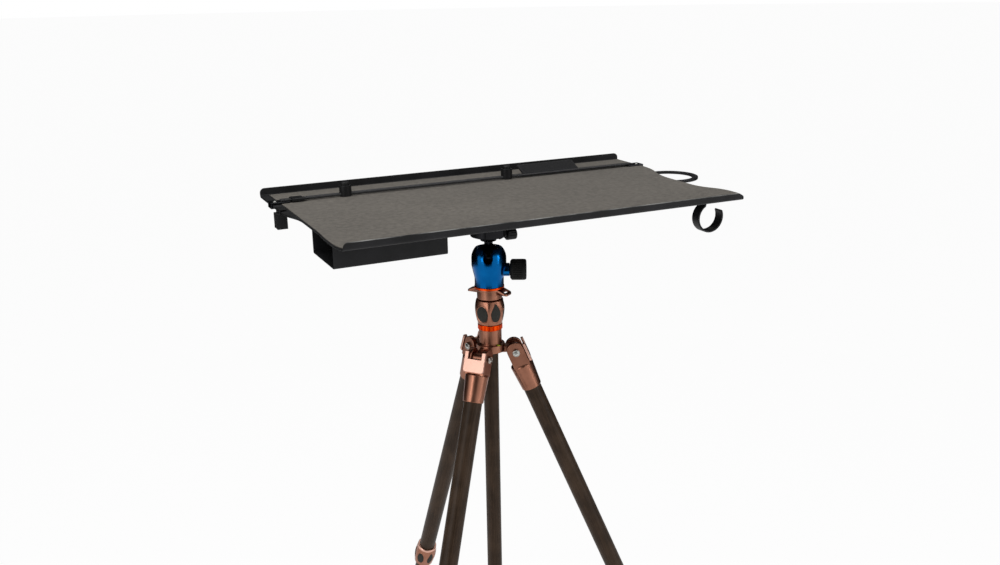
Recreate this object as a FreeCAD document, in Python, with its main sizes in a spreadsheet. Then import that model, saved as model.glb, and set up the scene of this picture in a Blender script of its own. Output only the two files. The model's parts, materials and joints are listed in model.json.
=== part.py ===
# Tethering table on its ball head and tripod.
# Millimetres. Everything is laid out round the hub: the origin is on the column's axis at the
# height of the leg hinges, X to the right, Y to the back, Z up. The last section moves the
# whole part so that its origin lies on the floor, in the middle of its bounding box.
import FreeCAD, Part
import math
import os
import Sketcher
from FreeCAD import Placement, Rotation, Vector

Y_AXIS = Vector(0, 1, 0)
Z_AXIS = Vector(0, 0, 1)

document = FreeCAD.newDocument("TetheringTable")
sheet = document.addObject("Spreadsheet::Sheet", "Sizes")


# Sizes: each one keeps its number and the formula that the sheet works it out by
class Size:
    def __init__(self, value, formula):
        self.value = float(value)
        self.formula = formula

    def __add__(self, other):
        other = as_size(other)
        return Size(self.value + other.value, f"({self.formula} + {other.formula})")

    def __sub__(self, other):
        other = as_size(other)
        return Size(self.value - other.value, f"({self.formula} - {other.formula})")

    def __mul__(self, other):
        other = as_size(other)
        return Size(self.value * other.value, f"({self.formula} * {other.formula})")

    def __truediv__(self, other):
        other = as_size(other)
        return Size(self.value / other.value, f"({self.formula} / {other.formula})")

    def __radd__(self, other):
        return as_size(other) + self

    def __rsub__(self, other):
        return as_size(other) - self

    def __rmul__(self, other):
        return as_size(other) * self

    def __neg__(self):
        return Size(-self.value, f"(0 - {self.formula})")


def as_size(number):
    return number if isinstance(number, Size) else Size(number, f"({float(number)})")


def sine(angle):
    return Size(math.sin(math.radians(angle.value)), f"sin({angle.formula} * 1 deg)")


def cosine(angle):
    return Size(math.cos(math.radians(angle.value)), f"cos({angle.formula} * 1 deg)")


sheet_rows = []


def size(alias, value):
    """Writes one driving dimension into the sheet and gives it back as a Size."""
    sheet_rows.append(alias)
    row = len(sheet_rows)
    sheet.set(f"A{row}", alias.replace("_", " "))
    sheet.set(f"B{row}", str(value))
    sheet.setAlias(f"B{row}", alias)
    return Size(value, f"Sizes.{alias}")


# Driving dimensions of the table top
front_reach = size("front_reach", 26)
rear_reach = size("rear_reach", 345)
left_front = size("left_front", 305)
left_waist = size("left_waist", 303)
left_rear = size("left_rear", 315)
right_front = size("right_front", 306)
right_waist = size("right_waist", 286)
right_rear = size("right_rear", 310)
left_nose = size("left_nose", 5)
right_nose = size("right_nose", 18)
nose_end = size("nose_end", 8)
flare_start = size("flare_start", 20)
flare_length = size("flare_length", 70)
waist_end = size("waist_end", 146)
left_rear_start = size("left_rear_start", 214)
right_rear_start = size("right_rear_start", 262)
sheet_thickness = size("sheet_thickness", 3)
edge_gap = size("edge_gap", 0.25)
wrap_thickness = size("wrap_thickness", 0.8)
wrap_inset = size("wrap_inset", 1.2)
front_rim_height = size("front_rim_height", 7.7)
rear_rim_height = size("rear_rim_height", 10.8)
rim_bend_radius = size("rim_bend_radius", 5)
rim_corner_radius = size("rim_corner_radius", 7)
table_offset = size("table_offset", 18)
column_setback = size("column_setback", 176)

# What hangs under the table
block_width = size("block_width", 110)
block_depth = size("block_depth", 86)
block_height = size("block_height", 28.2)
block_corner = size("block_corner", 10)
block_counterbore = size("block_counterbore", 8)
block_screw_spread_x = size("block_screw_spread_x", 84)
block_screw_spread_y = size("block_screw_spread_y", 60)
screw_radius = size("screw_radius", 2)
screw_head_radius = size("screw_head_radius", 3.6)
screw_head_height = size("screw_head_height", 2.4)
screw_clearance = size("screw_clearance", 0.15)
screw_end_gap = size("screw_end_gap", 0.4)
tripod_thread_radius = size("tripod_thread_radius", 4.76)
accessory_thread_radius = size("accessory_thread_radius", 3.175)
accessory_thread_offset = size("accessory_thread_offset", 36)
accessory_thread_depth = size("accessory_thread_depth", 14)
drive_box_length = size("drive_box_length", 154)
drive_box_depth = size("drive_box_depth", 94)
drive_box_height = size("drive_box_height", 36.5)
drive_box_sheet = size("drive_box_sheet", 1.5)
drive_bend = size("drive_bend", 3)
drive_box_flange = size("drive_box_flange", 11)
drive_box_front = size("drive_box_front", 31)
drive_box_left = size("drive_box_left", -297)
drive_screw_inset = size("drive_screw_inset", 22)

# Cup holder, hook and cable clip
pivot_screw_radius = size("pivot_screw_radius", 3)
pivot_head_radius = size("pivot_head_radius", 7)
pivot_head_height = size("pivot_head_height", 2.6)
running_gap = size("running_gap", 0.3)
pin_gap = size("pin_gap", 0.06)
cup_pivot_x = size("cup_pivot_x", 264)
cup_pivot_y = size("cup_pivot_y", 238)
cup_arm_reach = size("cup_arm_reach", 84)
cup_ring_outer = size("cup_ring_outer", 47)
cup_ring_inner = size("cup_ring_inner", 38)
cup_plate = size("cup_plate", 4)
cup_arm_width = size("cup_arm_width", 22)
cup_drop = size("cup_drop", 13)
cup_bracket_radius = size("cup_bracket_radius", 13)
hook_pivot_x = size("hook_pivot_x", 272)
hook_pivot_y = size("hook_pivot_y", 31)
hook_radius = size("hook_radius", 22.5)
hook_band = size("hook_band", 3)
hook_width = size("hook_width", 16)
hook_drop = size("hook_drop", 33)
hook_strip_offset = size("hook_strip_offset", 10)
hook_mouth_angle = size("hook_mouth_angle", 116)
hook_tip_angle = size("hook_tip_angle", 22)
hook_eye_radius = size("hook_eye_radius", 8)
clip_y = size("clip_y", 226)
clip_width = size("clip_width", 18)
clip_height = size("clip_height", 22)
clip_depth = size("clip_depth", 15)
clip_wall = size("clip_wall", 2.2)
clip_grip = size("clip_grip", 9)
clip_channel_radius = size("clip_channel_radius", 3.2)
clip_channel_drop = size("clip_channel_drop", 16)
clip_groove_radius = size("clip_groove_radius", 2)

# Strap across the rear of the table
strap_y = size("strap_y", 274)
strap_hook_width = size("strap_hook_width", 19)
strap_hook_plate = size("strap_hook_plate", 2.2)
strap_hook_reach = size("strap_hook_reach", 26)
strap_hook_lower_reach = size("strap_hook_lower_reach", 13)
strap_slot_length = size("strap_slot_length", 16)
strap_slot_width = size("strap_slot_width", 4.4)
strap_slot_inset = size("strap_slot_inset", 7)
webbing_width = size("webbing_width", 14)
webbing_thickness = size("webbing_thickness", 1.8)
webbing_lift = size("webbing_lift", 3.4)
left_webbing_length = size("left_webbing_length", 38)
buckle_length = size("buckle_length", 18)
buckle_width = size("buckle_width", 20)
buckle_height = size("buckle_height", 4.6)
buckle_corner = size("buckle_corner", 1.1)
buckle_gap = size("buckle_gap", 3)
cord_radius = size("cord_radius", 2)
cord_spacing = size("cord_spacing", 6)
cord_end = size("cord_end", 78)
lock_left_x = size("lock_left_x", -204)
lock_right_x = size("lock_right_x", 61)
cord_lock_radius = size("cord_lock_radius", 9)
cord_lock_height = size("cord_lock_height", 16)
cord_lock_wall = size("cord_lock_wall", 2.4)
cord_button_travel = size("cord_button_travel", 4)
cord_button_height = size("cord_button_height", 10)
cord_button_stand = size("cord_button_stand", 1)
cord_button_rounding = size("cord_button_rounding", 2)
label_start = size("label_start", 92)
label_length = size("label_length", 102)
label_width = size("label_width", 26)
label_lean = size("label_lean", 25)
label_thickness = size("label_thickness", 2.4)
label_overlap = size("label_overlap", 3.5)

# Quick-release plate and its clamp
dovetail_width = size("dovetail_width", 38)
dovetail_undercut = size("dovetail_undercut", 3)
dovetail_foot = size("dovetail_foot", 1.5)
dovetail_land = size("dovetail_land", 1)
dovetail_shoulder = size("dovetail_shoulder", 1.5)
plate_height = size("plate_height", 10)
plate_length = size("plate_length", 56)
plate_screw_head_radius = size("plate_screw_head_radius", 8)
plate_screw_recess = size("plate_screw_recess", 4)
plate_screw_length = size("plate_screw_length", 22)
clamp_length = size("clamp_length", 46)
clamp_round_radius = size("clamp_round_radius", 27)
clamp_dish_radius = size("clamp_dish_radius", 16)
clamp_dish_height = size("clamp_dish_height", 7)
clamp_height = size("clamp_height", 26.5)
clamp_wall = size("clamp_wall", 8)
clamp_gap = size("clamp_gap", 0.3)
jaw_thickness = size("jaw_thickness", 12)
jaw_travel = size("jaw_travel", 2.5)
jaw_seat_inset = size("jaw_seat_inset", 5)
clamp_knob_radius = size("clamp_knob_radius", 8.5)
clamp_knob_length = size("clamp_knob_length", 18)
clamp_knob_neck_radius = size("clamp_knob_neck_radius", 5)
clamp_knob_neck_length = size("clamp_knob_neck_length", 2)
clamp_knob_chamfer = size("clamp_knob_chamfer", 1.1)
clamp_knob_drop = size("clamp_knob_drop", 22)
clamp_screw_radius = size("clamp_screw_radius", 3)
clamp_screw_reach = size("clamp_screw_reach", 16)

# Ball head
ball_radius = size("ball_radius", 17)
ball_gap = size("ball_gap", 0.15)
stem_gap = size("stem_gap", 0.06)
stem_foot_angle = size("stem_foot_angle", 21)
stem_height = size("stem_height", 22)
stem_neck_radius = size("stem_neck_radius", 6.8)
stem_flange_radius = size("stem_flange_radius", 12)
stem_flange_height = size("stem_flange_height", 0.5)
stem_flange_slope = size("stem_flange_slope", 1)
rim_angle = size("rim_angle", 50)
mouth_angle = size("mouth_angle", 58)
mouth_radius = size("mouth_radius", 16.6)
housing_top_radius = size("housing_top_radius", 20)
housing_belly_radius = size("housing_belly_radius", 26.3)
housing_foot_radius = size("housing_foot_radius", 22)
housing_height_below = size("housing_height_below", 48)
housing_cavity_depth = size("housing_cavity_depth", 30)
housing_shoulder_radius = size("housing_shoulder_radius", 26)
housing_belly_drop = size("housing_belly_drop", 7)
housing_belly_height = size("housing_belly_height", 9)
housing_foot_height = size("housing_foot_height", 12)
notch_width = size("notch_width", 14)
notch_depth = size("notch_depth", 6)
ball_cup_edge_angle = size("ball_cup_edge_angle", 50)
knob_drop = size("knob_drop", 24)
knob_boss_radius = size("knob_boss_radius", 10)
knob_boss_end = size("knob_boss_end", 31)
knob_boss_root = size("knob_boss_root", 3)
knob_turn = size("knob_turn", -28)
knob_radius = size("knob_radius", 15.5)
knob_length = size("knob_length", 21)
knob_chamfer = size("knob_chamfer", 1.6)
knob_neck_radius = size("knob_neck_radius", 9)
knob_neck_length = size("knob_neck_length", 4)
knob_stud_radius = size("knob_stud_radius", 4)
pan_ring_height = size("pan_ring_height", 3.5)
pan_ring_radius = size("pan_ring_radius", 22.6)
pan_spindle_radius = size("pan_spindle_radius", 7)
pan_spindle_height = size("pan_spindle_height", 9)

# Column and hub
column_radius = size("column_radius", 11.8)
column_wall = size("column_wall", 1.6)
column_travel = size("column_travel", 300)
column_grip = size("column_grip", 95)
column_cap_radius = size("column_cap_radius", 13.5)
column_cap_height = size("column_cap_height", 12)
column_cap_chamfer = size("column_cap_chamfer", 3)
column_cap_plug = size("column_cap_plug", 14)
hub_neck_radius = size("hub_neck_radius", 17.4)
hub_neck_height = size("hub_neck_height", 23.6)
hub_flange_radius = size("hub_flange_radius", 22)
hub_flange_top = size("hub_flange_top", 13.4)
hub_flange_bottom = size("hub_flange_bottom", 1.7)
knurled_ring_radius = size("knurled_ring_radius", 18.9)
knurled_ring_height = size("knurled_ring_height", 8.5)
knurled_ring_chamfer = size("knurled_ring_chamfer", 0.9)
column_lock_radius = size("column_lock_radius", 23.5)
column_lock_end_radius = size("column_lock_end_radius", 20.5)
column_lock_height = size("column_lock_height", 39)
column_lock_slope = size("column_lock_slope", 6.5)
top_mount_radius = size("top_mount_radius", 19)
top_mount_height = size("top_mount_height", 14.5)
top_mount_chamfer = size("top_mount_chamfer", 1.6)
column_socket_depth = size("column_socket_depth", 10)
loop_plate_thickness = size("loop_plate_thickness", 3.4)
loop_plate_radius = size("loop_plate_radius", 21)
loop_reach = size("loop_reach", 34)
loop_half_width = size("loop_half_width", 10)
loop_corner = size("loop_corner", 5)
loop_turn = size("loop_turn", -54)
loop_slot_length = size("loop_slot_length", 12)
loop_slot_width = size("loop_slot_width", 4.5)
loop_slot_corner = size("loop_slot_corner", 1.5)
loop_slot_place = size("loop_slot_place", 28)
level_radius = size("level_radius", 2.2)
level_depth = size("level_depth", 2)
level_azimuth = size("level_azimuth", 64)

# Legs
leg_count = 3
first_leg_azimuth = size("first_leg_azimuth", -141)
leg_splay = size("leg_splay", 22.5)
hinge_radius = size("hinge_radius", 38)
tongue_half_width = size("tongue_half_width", 8)
tongue_half_height = size("tongue_half_height", 4.8)
arm_rise = size("arm_rise", 4)
tongue_head_radius = size("tongue_head_radius", 9)
hinge_pin_radius = size("hinge_pin_radius", 4)
hinge_head_radius = size("hinge_head_radius", 5.6)
hinge_head_height = size("hinge_head_height", 2.4)
fork_half_width = size("fork_half_width", 15.5)
fork_radius = size("fork_radius", 13)
fork_rise = size("fork_rise", 3)
fork_depth = size("fork_depth", 12)
crown_shoulder = size("crown_shoulder", 24)
crown_length = size("crown_length", 66)
crown_top_radius = size("crown_top_radius", 18)
crown_end_radius = size("crown_end_radius", 15.6)
crown_chamfer = size("crown_chamfer", 1.5)
crown_socket_top = size("crown_socket_top", 30)
latch_thickness = size("latch_thickness", 4)
latch_back = size("latch_back", 14)
latch_half_width = size("latch_half_width", 17)
latch_top = size("latch_top", -2)
latch_bottom = size("latch_bottom", -22)
latch_prong_top = size("latch_prong_top", 9)
latch_prong_width = size("latch_prong_width", 6)
latch_corner_radius = size("latch_corner_radius", 4)
latch_stem_radius = size("latch_stem_radius", 2.8)
latch_stem_drop = size("latch_stem_drop", 17)
latch_travel = size("latch_travel", 4)
latch_stem_grip = size("latch_stem_grip", 6)
upper_tube_radius = size("upper_tube_radius", 14)
upper_tube_end = size("upper_tube_end", 505)
tube_wall = size("tube_wall", 1.4)
tube_gap = size("tube_gap", 0.2)
leg_lock_top = size("leg_lock_top", 484)
leg_lock_length = size("leg_lock_length", 44)
leg_lock_radius = size("leg_lock_radius", 19)
leg_lock_end_radius = size("leg_lock_end_radius", 16.6)
leg_lock_slope = size("leg_lock_slope", 7.3)
lower_tube_overlap = size("lower_tube_overlap", 60)
lower_tube_travel = size("lower_tube_travel", 370)
lower_tube_stand = size("lower_tube_stand", 27)
foot_radius = size("foot_radius", 15)
foot_grip = size("foot_grip", 12)
foot_wall = size("foot_wall", 5)

# How far a cutting outline or a bore runs on past the material that it cuts
trim_margin = 20
cut_margin = 2

# Heights above the leg hinges, from the hub up to the table top
knurled_ring_bottom = hub_flange_top + hub_neck_height
column_lock_bottom = knurled_ring_bottom + knurled_ring_height
top_mount_bottom = column_lock_bottom + column_lock_height
loop_plate_bottom = top_mount_bottom + top_mount_height
pan_ring_bottom = loop_plate_bottom + loop_plate_thickness
housing_bottom = pan_ring_bottom + pan_ring_height
ball_centre = housing_bottom + housing_height_below
clamp_floor = ball_centre + stem_height + clamp_height
block_bottom = clamp_floor + plate_height
sheet_bottom = block_bottom + block_height
sheet_top = sheet_bottom + sheet_thickness
work_surface = sheet_top + wrap_thickness
lower_tube_radius = upper_tube_radius - tube_wall - tube_gap

# What slides keeps a hold on what it slides in at the end of its travel
column_below = column_travel + column_grip
latch_stem_end = latch_back - latch_travel - latch_stem_grip
lower_tube_end = leg_lock_top + leg_lock_length + lower_tube_travel + lower_tube_stand
foot_centre = lower_tube_end + foot_wall

nodes = []


# Drawing helpers
def new_body(label):
    made = document.addObject("PartDesign::Body", label)
    made.Label = label
    nodes.append(made)
    return made


def origin_part(owner, role):
    return next(item for item in owner.Origin.OriginFeatures if item.Role == role)


def bind(item, name, value):
    """Gives a property its number and ties it to the sheet."""
    value = as_size(value)
    if name.startswith("AttachmentOffset"):
        item.AttachmentOffset = Placement(Vector(0, 0, value.value), Rotation())
    else:
        setattr(item, name, value.value)
    item.setExpression(name, value.formula)


def circle(x, y, radius):
    return ("circle", as_size(x), as_size(y), as_size(radius))


def arc_between(start, end, radius):
    """The shorter arc from start to end; a positive radius turns left, a negative one right."""
    chord = end - start
    middle = (start + end) * 0.5
    reach = math.sqrt(max(radius * radius - chord.Length ** 2 / 4, 0.0))
    side = Vector(-chord.y, chord.x, 0).normalize() * reach
    centre = middle + side if radius > 0 else middle - side
    first, last = (start, end) if radius > 0 else (end, start)
    start_angle = math.atan2(first.y - centre.y, first.x - centre.x)
    end_angle = math.atan2(last.y - centre.y, last.x - centre.x)
    return Part.ArcOfCircle(Part.Circle(centre, Z_AXIS, abs(radius)), start_angle, end_angle)


def draw_outline(drawing, corners):
    """Adds one closed outline; a corner with a third value is reached by an arc."""
    corners = [tuple(as_size(value) for value in corner) for corner in corners]
    first = drawing.GeometryCount
    count = len(corners)
    places = [Vector(corner[0].value, corner[1].value, 0) for corner in corners]
    starts = []
    ends = []
    for index in range(count):
        target = (index + 1) % count
        number = first + index
        if len(corners[target]) == 3:
            radius = corners[target][2]
            drawing.addGeometry(arc_between(places[index], places[target], radius.value), False)
            forward = radius.value > 0
            starts.append((number, 1 if forward else 2))
            ends.append((number, 2 if forward else 1))
        else:
            drawing.addGeometry(Part.LineSegment(places[index], places[target]), False)
            starts.append((number, 1))
            ends.append((number, 2))
    for index in range(count):
        drawing.addConstraint(Sketcher.Constraint("Coincident", *ends[index - 1], *starts[index]))
        for axis, value in (("DistanceX", corners[index][0]), ("DistanceY", corners[index][1])):
            rule = Sketcher.Constraint(axis, -1, 1, *starts[index], value.value)
            number = drawing.addConstraint(rule)
            drawing.setExpression(f"Constraints[{number}]", value.formula)
    for index in range(count):
        target = corners[(index + 1) % count]
        if len(target) == 3:
            radius = target[2] if target[2].value > 0 else -target[2]
            rule = Sketcher.Constraint("Radius", first + index, radius.value)
            number = drawing.addConstraint(rule)
            drawing.setExpression(f"Constraints[{number}]", radius.formula)


def draw_circle(drawing, x, y, radius):
    centre = Vector(x.value, y.value, 0)
    number = drawing.addGeometry(Part.Circle(centre, Z_AXIS, radius.value), False)
    rules = [
        (Sketcher.Constraint("DistanceX", -1, 1, number, 3, x.value), x),
        (Sketcher.Constraint("DistanceY", -1, 1, number, 3, y.value), y),
        (Sketcher.Constraint("Radius", number, radius.value), radius),
    ]
    for rule, value in rules:
        place = drawing.addConstraint(rule)
        drawing.setExpression(f"Constraints[{place}]", value.formula)


def draw(owner, role, loops, at=0):
    """A sketch on one of the body's origin planes, moved along the plane's normal by at."""
    drawing = owner.newObject("Sketcher::SketchObject", owner.Label + "_sketch")
    drawing.AttachmentSupport = (origin_part(owner, role), [""])
    drawing.MapMode = "FlatFace"
    bind(drawing, "AttachmentOffset.Base.z", at)
    for loop in loops:
        if loop[0] == "circle":
            draw_circle(drawing, *loop[1:])
        else:
            draw_outline(drawing, loop)
    return drawing


def pad(owner, role, loops, length, at=0, both_ways=False, backwards=False):
    feature = owner.newObject("PartDesign::Pad", owner.Label + "_pad")
    feature.Profile = draw(owner, role, loops, at)
    bind(feature, "Length", length)
    feature.Midplane = both_ways
    feature.Reversed = backwards
    document.recompute()
    return feature


def pocket(owner, role, loops, depth=None, at=0, both_ways=False, backwards=False):
    """Cuts to a depth against the plane's normal, or right through both ways without one."""
    feature = owner.newObject("PartDesign::Pocket", owner.Label + "_pocket")
    feature.Profile = draw(owner, role, loops, at)
    if depth is None:
        feature.Type = "ThroughAll"
        feature.Midplane = True
    else:
        bind(feature, "Length", depth)
        feature.Midplane = both_ways
        feature.Reversed = backwards
    document.recompute()
    return feature


def turn(owner, loops):
    """Turns an outline in the XZ plane, radius by height, round the body's Z axis."""
    feature = owner.newObject("PartDesign::Revolution", owner.Label + "_turn")
    drawing = draw(owner, "XZ_Plane", loops)
    feature.Profile = drawing
    feature.ReferenceAxis = (drawing, ["V_Axis"])
    feature.Angle = 360
    document.recompute()
    return feature


def repeat_round(owner, features, count):
    pattern = owner.newObject("PartDesign::PolarPattern", owner.Label + "_round")
    pattern.Originals = features
    pattern.Axis = (origin_part(owner, "Z_Axis"), [""])
    pattern.Angle = 360
    pattern.Occurrences = count
    owner.Tip = pattern
    document.recompute()
    return pattern


def rectangle(left, bottom, right, top):
    return [(left, bottom), (right, bottom), (right, top), (left, top)]


def rounded_rectangle(left, bottom, right, top, radius):
    left, bottom, right, top = (as_size(value) for value in (left, bottom, right, top))
    radius = as_size(radius)
    return [
        (left + radius, bottom, radius), (right - radius, bottom),
        (right, bottom + radius, radius), (right, top - radius),
        (right - radius, top, radius), (left + radius, top),
        (left, top - radius, radius), (left, bottom + radius),
    ]


def s_curve(start_x, start_y, end_x, end_y):
    """Two equal arcs that leave and arrive along Y."""
    heading = 1 if end_y.value > start_y.value else -1
    across = end_x - start_x
    along = end_y - start_y
    radius = heading * (along * along + across * across) / (4 * across)
    return [((start_x + end_x) / 2, (start_y + end_y) / 2, -radius), (end_x, end_y, radius)]


def place(body, x, y, z, turned=0, tilted=None):
    """Stands a body in the hub frame, turned round Z and then, where asked, tilted."""
    spot = Vector(*(as_size(value).value for value in (x, y, z)))
    body.Placement = Placement(spot, Rotation(Z_AXIS, as_size(turned).value))
    if tilted is not None:
        body.Placement = body.Placement.multiply(Placement(Vector(), tilted))


def place_on_table(body, x, y, z, turned=0, tilted=None):
    """The same, from a line that runs front_reach behind the table's front face."""
    place(body, table_offset + x, y - column_setback, z, turned, tilted)


def group(label, shapes):
    made = document.addObject("Part::Feature", label)
    made.Label = label
    made.Shape = Part.makeCompound(shapes)
    nodes.append(made)
    return made


def screw(head_bottom, head_top, end, head_radius, shaft_radius, x, y):
    """A screw with its head below and its end above, as one solid."""
    foot = Vector(x.value, y.value, head_bottom.value)
    head = Part.makeCylinder(head_radius.value, (head_top - head_bottom).value, foot)
    shaft = Part.makeCylinder(shaft_radius.value, (end - head_bottom).value, foot)
    return head.fuse(shaft).removeSplitter()


# Table top: one sheet with its front and rear edges bent up into low rims
flare_end = flare_start + flare_length
sheet_half = (left_rear + right_rear) / 2 + trim_margin
screw_hole_radius = screw_radius + screw_clearance
pivot_hole_radius = pivot_screw_radius + screw_clearance
block_screws = [
    (side_x * block_screw_spread_x / 2, side_y * block_screw_spread_y / 2)
    for side_x in (-1, 1) for side_y in (-1, 1)
]
drive_screws = [
    (drive_box_left + along, drive_box_front + across)
    for along in (drive_screw_inset, drive_box_length - drive_screw_inset)
    for across in (-drive_box_flange / 2, drive_box_depth + drive_box_flange / 2)
]


def nose_radius(inset, length):
    """The arc that leaves the side along Y and has come in by inset after length."""
    return (inset * inset + length * length) / (2 * inset)


def mirrored(side, outline):
    return [
        (side * corner[0], corner[1], *(side * radius for radius in corner[2:]))
        for corner in outline
    ]


def side_trim(side, nose, front, waist, rear, rear_start):
    """What is cut away beside the table's right edge, or mirrored, beside its left one."""
    before = -front_reach - trim_margin
    behind = rear_reach + trim_margin
    outside = sheet_half + trim_margin
    return mirrored(side, [
        (front - nose, before), (front - nose, -front_reach),
        (front, nose_end, nose_radius(nose, front_reach + nose_end)),
        (front, flare_start), *s_curve(front, flare_start, waist, flare_end),
        (waist, waist_end), *s_curve(waist, waist_end, rear, rear_start),
        (rear, behind), (outside, behind), (outside, before),
    ])


def rim_corner(side, end, height):
    """What is cut away to round the upper corner of a rim that ends at end."""
    return mirrored(side, [
        (end, height - rim_corner_radius), (end - rim_corner_radius, height, rim_corner_radius),
        (end - rim_corner_radius, height + trim_margin),
        (end + trim_margin, height + trim_margin),
        (end + trim_margin, height - rim_corner_radius),
    ])


def make_table_plate():
    body = new_body("table_plate")
    bend = rim_bend_radius
    thick = sheet_thickness
    front = -front_reach
    rear = rear_reach
    inner = bend - thick
    profile = [
        (front, front_rim_height), (front, inner), (front + bend, -thick, bend),
        (rear - bend, -thick), (rear, inner, bend), (rear, rear_rim_height),
        (rear - thick, rear_rim_height), (rear - thick, inner), (rear - bend, 0, -inner),
        (front + bend, 0), (front + thick, inner, -inner), (front + thick, front_rim_height),
    ]
    pad(body, "YZ_Plane", [profile], 2 * sheet_half, both_ways=True)
    right = side_trim(1, right_nose, right_front, right_waist, right_rear, right_rear_start)
    left = side_trim(-1, left_nose, left_front, left_waist, left_rear, left_rear_start)
    pocket(body, "XY_Plane", [right])
    pocket(body, "XY_Plane", [left])
    ends = [
        rim_corner(1, right_front - right_nose, front_rim_height),
        rim_corner(-1, left_front - left_nose, front_rim_height),
    ]
    pocket(body, "XZ_Plane", ends, bend, at=front_reach)
    ends = [
        rim_corner(1, right_rear, rear_rim_height),
        rim_corner(-1, left_rear, rear_rim_height),
    ]
    pocket(body, "XZ_Plane", ends, bend, at=-rear_reach, backwards=True)
    holes = [
        circle(x - table_offset, y + column_setback, screw_hole_radius) for x, y in block_screws
    ]
    holes += [circle(x, y, screw_hole_radius) for x, y in drive_screws]
    holes += [circle(cup_pivot_x, cup_pivot_y, pivot_hole_radius)]
    holes += [circle(hook_pivot_x, hook_pivot_y, pivot_hole_radius)]
    pocket(body, "XY_Plane", holes)
    place_on_table(body, 0, 0, sheet_top)


def make_top_wrap():
    """The skin: it follows the sheet's edges, but runs straight where the left side widens."""
    body = new_body("top_wrap")
    front_line = rim_bend_radius - front_reach
    rear_line = rear_reach - rim_bend_radius
    right, waist, rear = (
        half - wrap_inset for half in (right_front, right_waist, right_rear)
    )
    left = wrap_inset - left_front
    left_end = wrap_inset - left_waist
    length = nose_end - front_line
    outline = [
        (right - right_nose, front_line), (right, nose_end, nose_radius(right_nose, length)),
        (right, flare_start), *s_curve(right, flare_start, waist, flare_end),
        (waist, waist_end), *s_curve(waist, waist_end, rear, right_rear_start),
        (rear, rear_line), (left_end, rear_line), (left_end, flare_end),
        *s_curve(left_end, flare_end, left, flare_start),
        (left, nose_end), (left + left_nose, front_line, nose_radius(left_nose, length)),
    ]
    pad(body, "XY_Plane", [outline], wrap_thickness)
    place_on_table(body, 0, 0, sheet_top)


# Mounting block and the screws under the sheet
def make_mounting_block():
    body = new_body("mounting_block")
    x = block_width / 2
    y = block_depth / 2
    pad(body, "XY_Plane", [rounded_rectangle(-x, -y, x, y, block_corner)], block_height)
    bores = [circle(*spot, screw_hole_radius) for spot in block_screws]
    pocket(body, "XY_Plane", bores + [circle(0, 0, tripod_thread_radius)])
    seats = [circle(*spot, screw_head_radius + screw_clearance) for spot in block_screws]
    pocket(body, "XY_Plane", seats, block_counterbore, backwards=True)
    threads = [
        circle(side * accessory_thread_offset, 0, accessory_thread_radius) for side in (-1, 1)
    ]
    pocket(body, "XY_Plane", threads, accessory_thread_depth, backwards=True)
    place(body, 0, 0, block_bottom)


def make_underside_screws():
    end = sheet_top - screw_end_gap
    seat = block_bottom + block_counterbore
    shapes = [
        screw(seat - screw_head_height, seat, end, screw_head_radius, screw_radius, x, y)
        for x, y in block_screws
    ]
    seat = sheet_bottom - drive_box_sheet
    shapes += [
        screw(seat - screw_head_height, seat, end, screw_head_radius, screw_radius,
              table_offset + x, y - column_setback)
        for x, y in drive_screws
    ]
    group("underside_screws", shapes)


# Drive compartment: a folded tray hung by its flanges, open at the left end
def make_drive_compartment():
    body = new_body("drive_compartment")
    deep = drive_box_depth
    low = -drive_box_height
    wall = drive_box_sheet
    flange = drive_box_flange
    bend = drive_bend
    inner = drive_bend - drive_box_sheet
    profile = [
        (-flange, 0), (-flange, -wall), (0, -wall), (0, low + bend),
        (bend, low, bend), (deep - bend, low), (deep, low + bend, bend), (deep, -wall),
        (deep + flange, -wall), (deep + flange, 0), (deep - wall, 0),
        (deep - wall, low + bend), (deep - bend, low + wall, -inner),
        (bend, low + wall), (wall, low + bend, -inner), (wall, 0),
    ]
    pad(body, "YZ_Plane", [profile], drive_box_length)
    end_wall = [
        (bend, low, bend), (deep - bend, low), (deep, low + bend, bend),
        (deep, 0), (0, 0), (0, low + bend),
    ]
    pad(body, "YZ_Plane", [end_wall], wall, at=drive_box_length - wall)
    holes = [
        circle(x - drive_box_left, y - drive_box_front, screw_hole_radius)
        for x, y in drive_screws
    ]
    pocket(body, "XY_Plane", holes)
    place_on_table(body, drive_box_left, drive_box_front, sheet_bottom)


# Cup holder, hook and their pivot screws
cup_arm_top = sheet_bottom - cup_drop
hook_top = sheet_bottom - running_gap


def make_cup_bracket():
    body = new_body("cup_holder_bracket")
    inner = pivot_hole_radius
    height = cup_drop - running_gap
    turn(body, [rectangle(inner, -height, cup_bracket_radius, 0)])
    place_on_table(body, cup_pivot_x, cup_pivot_y, sheet_bottom)


def make_cup_holder():
    body = new_body("cup_holder")
    half_arm = cup_arm_width / 2
    ring = circle(cup_arm_reach, 0, cup_ring_outer)
    pad(body, "XY_Plane", [ring], cup_plate, backwards=True)
    arm = rectangle(0, -half_arm, cup_arm_reach, half_arm)
    pad(body, "XY_Plane", [arm], cup_plate, backwards=True)
    pad(body, "XY_Plane", [circle(0, 0, half_arm)], cup_plate, backwards=True)
    openings = [circle(cup_arm_reach, 0, cup_ring_inner)]
    openings += [circle(0, 0, pivot_screw_radius + pin_gap)]
    pocket(body, "XY_Plane", openings)
    place_on_table(body, cup_pivot_x, cup_pivot_y, cup_arm_top)


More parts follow.
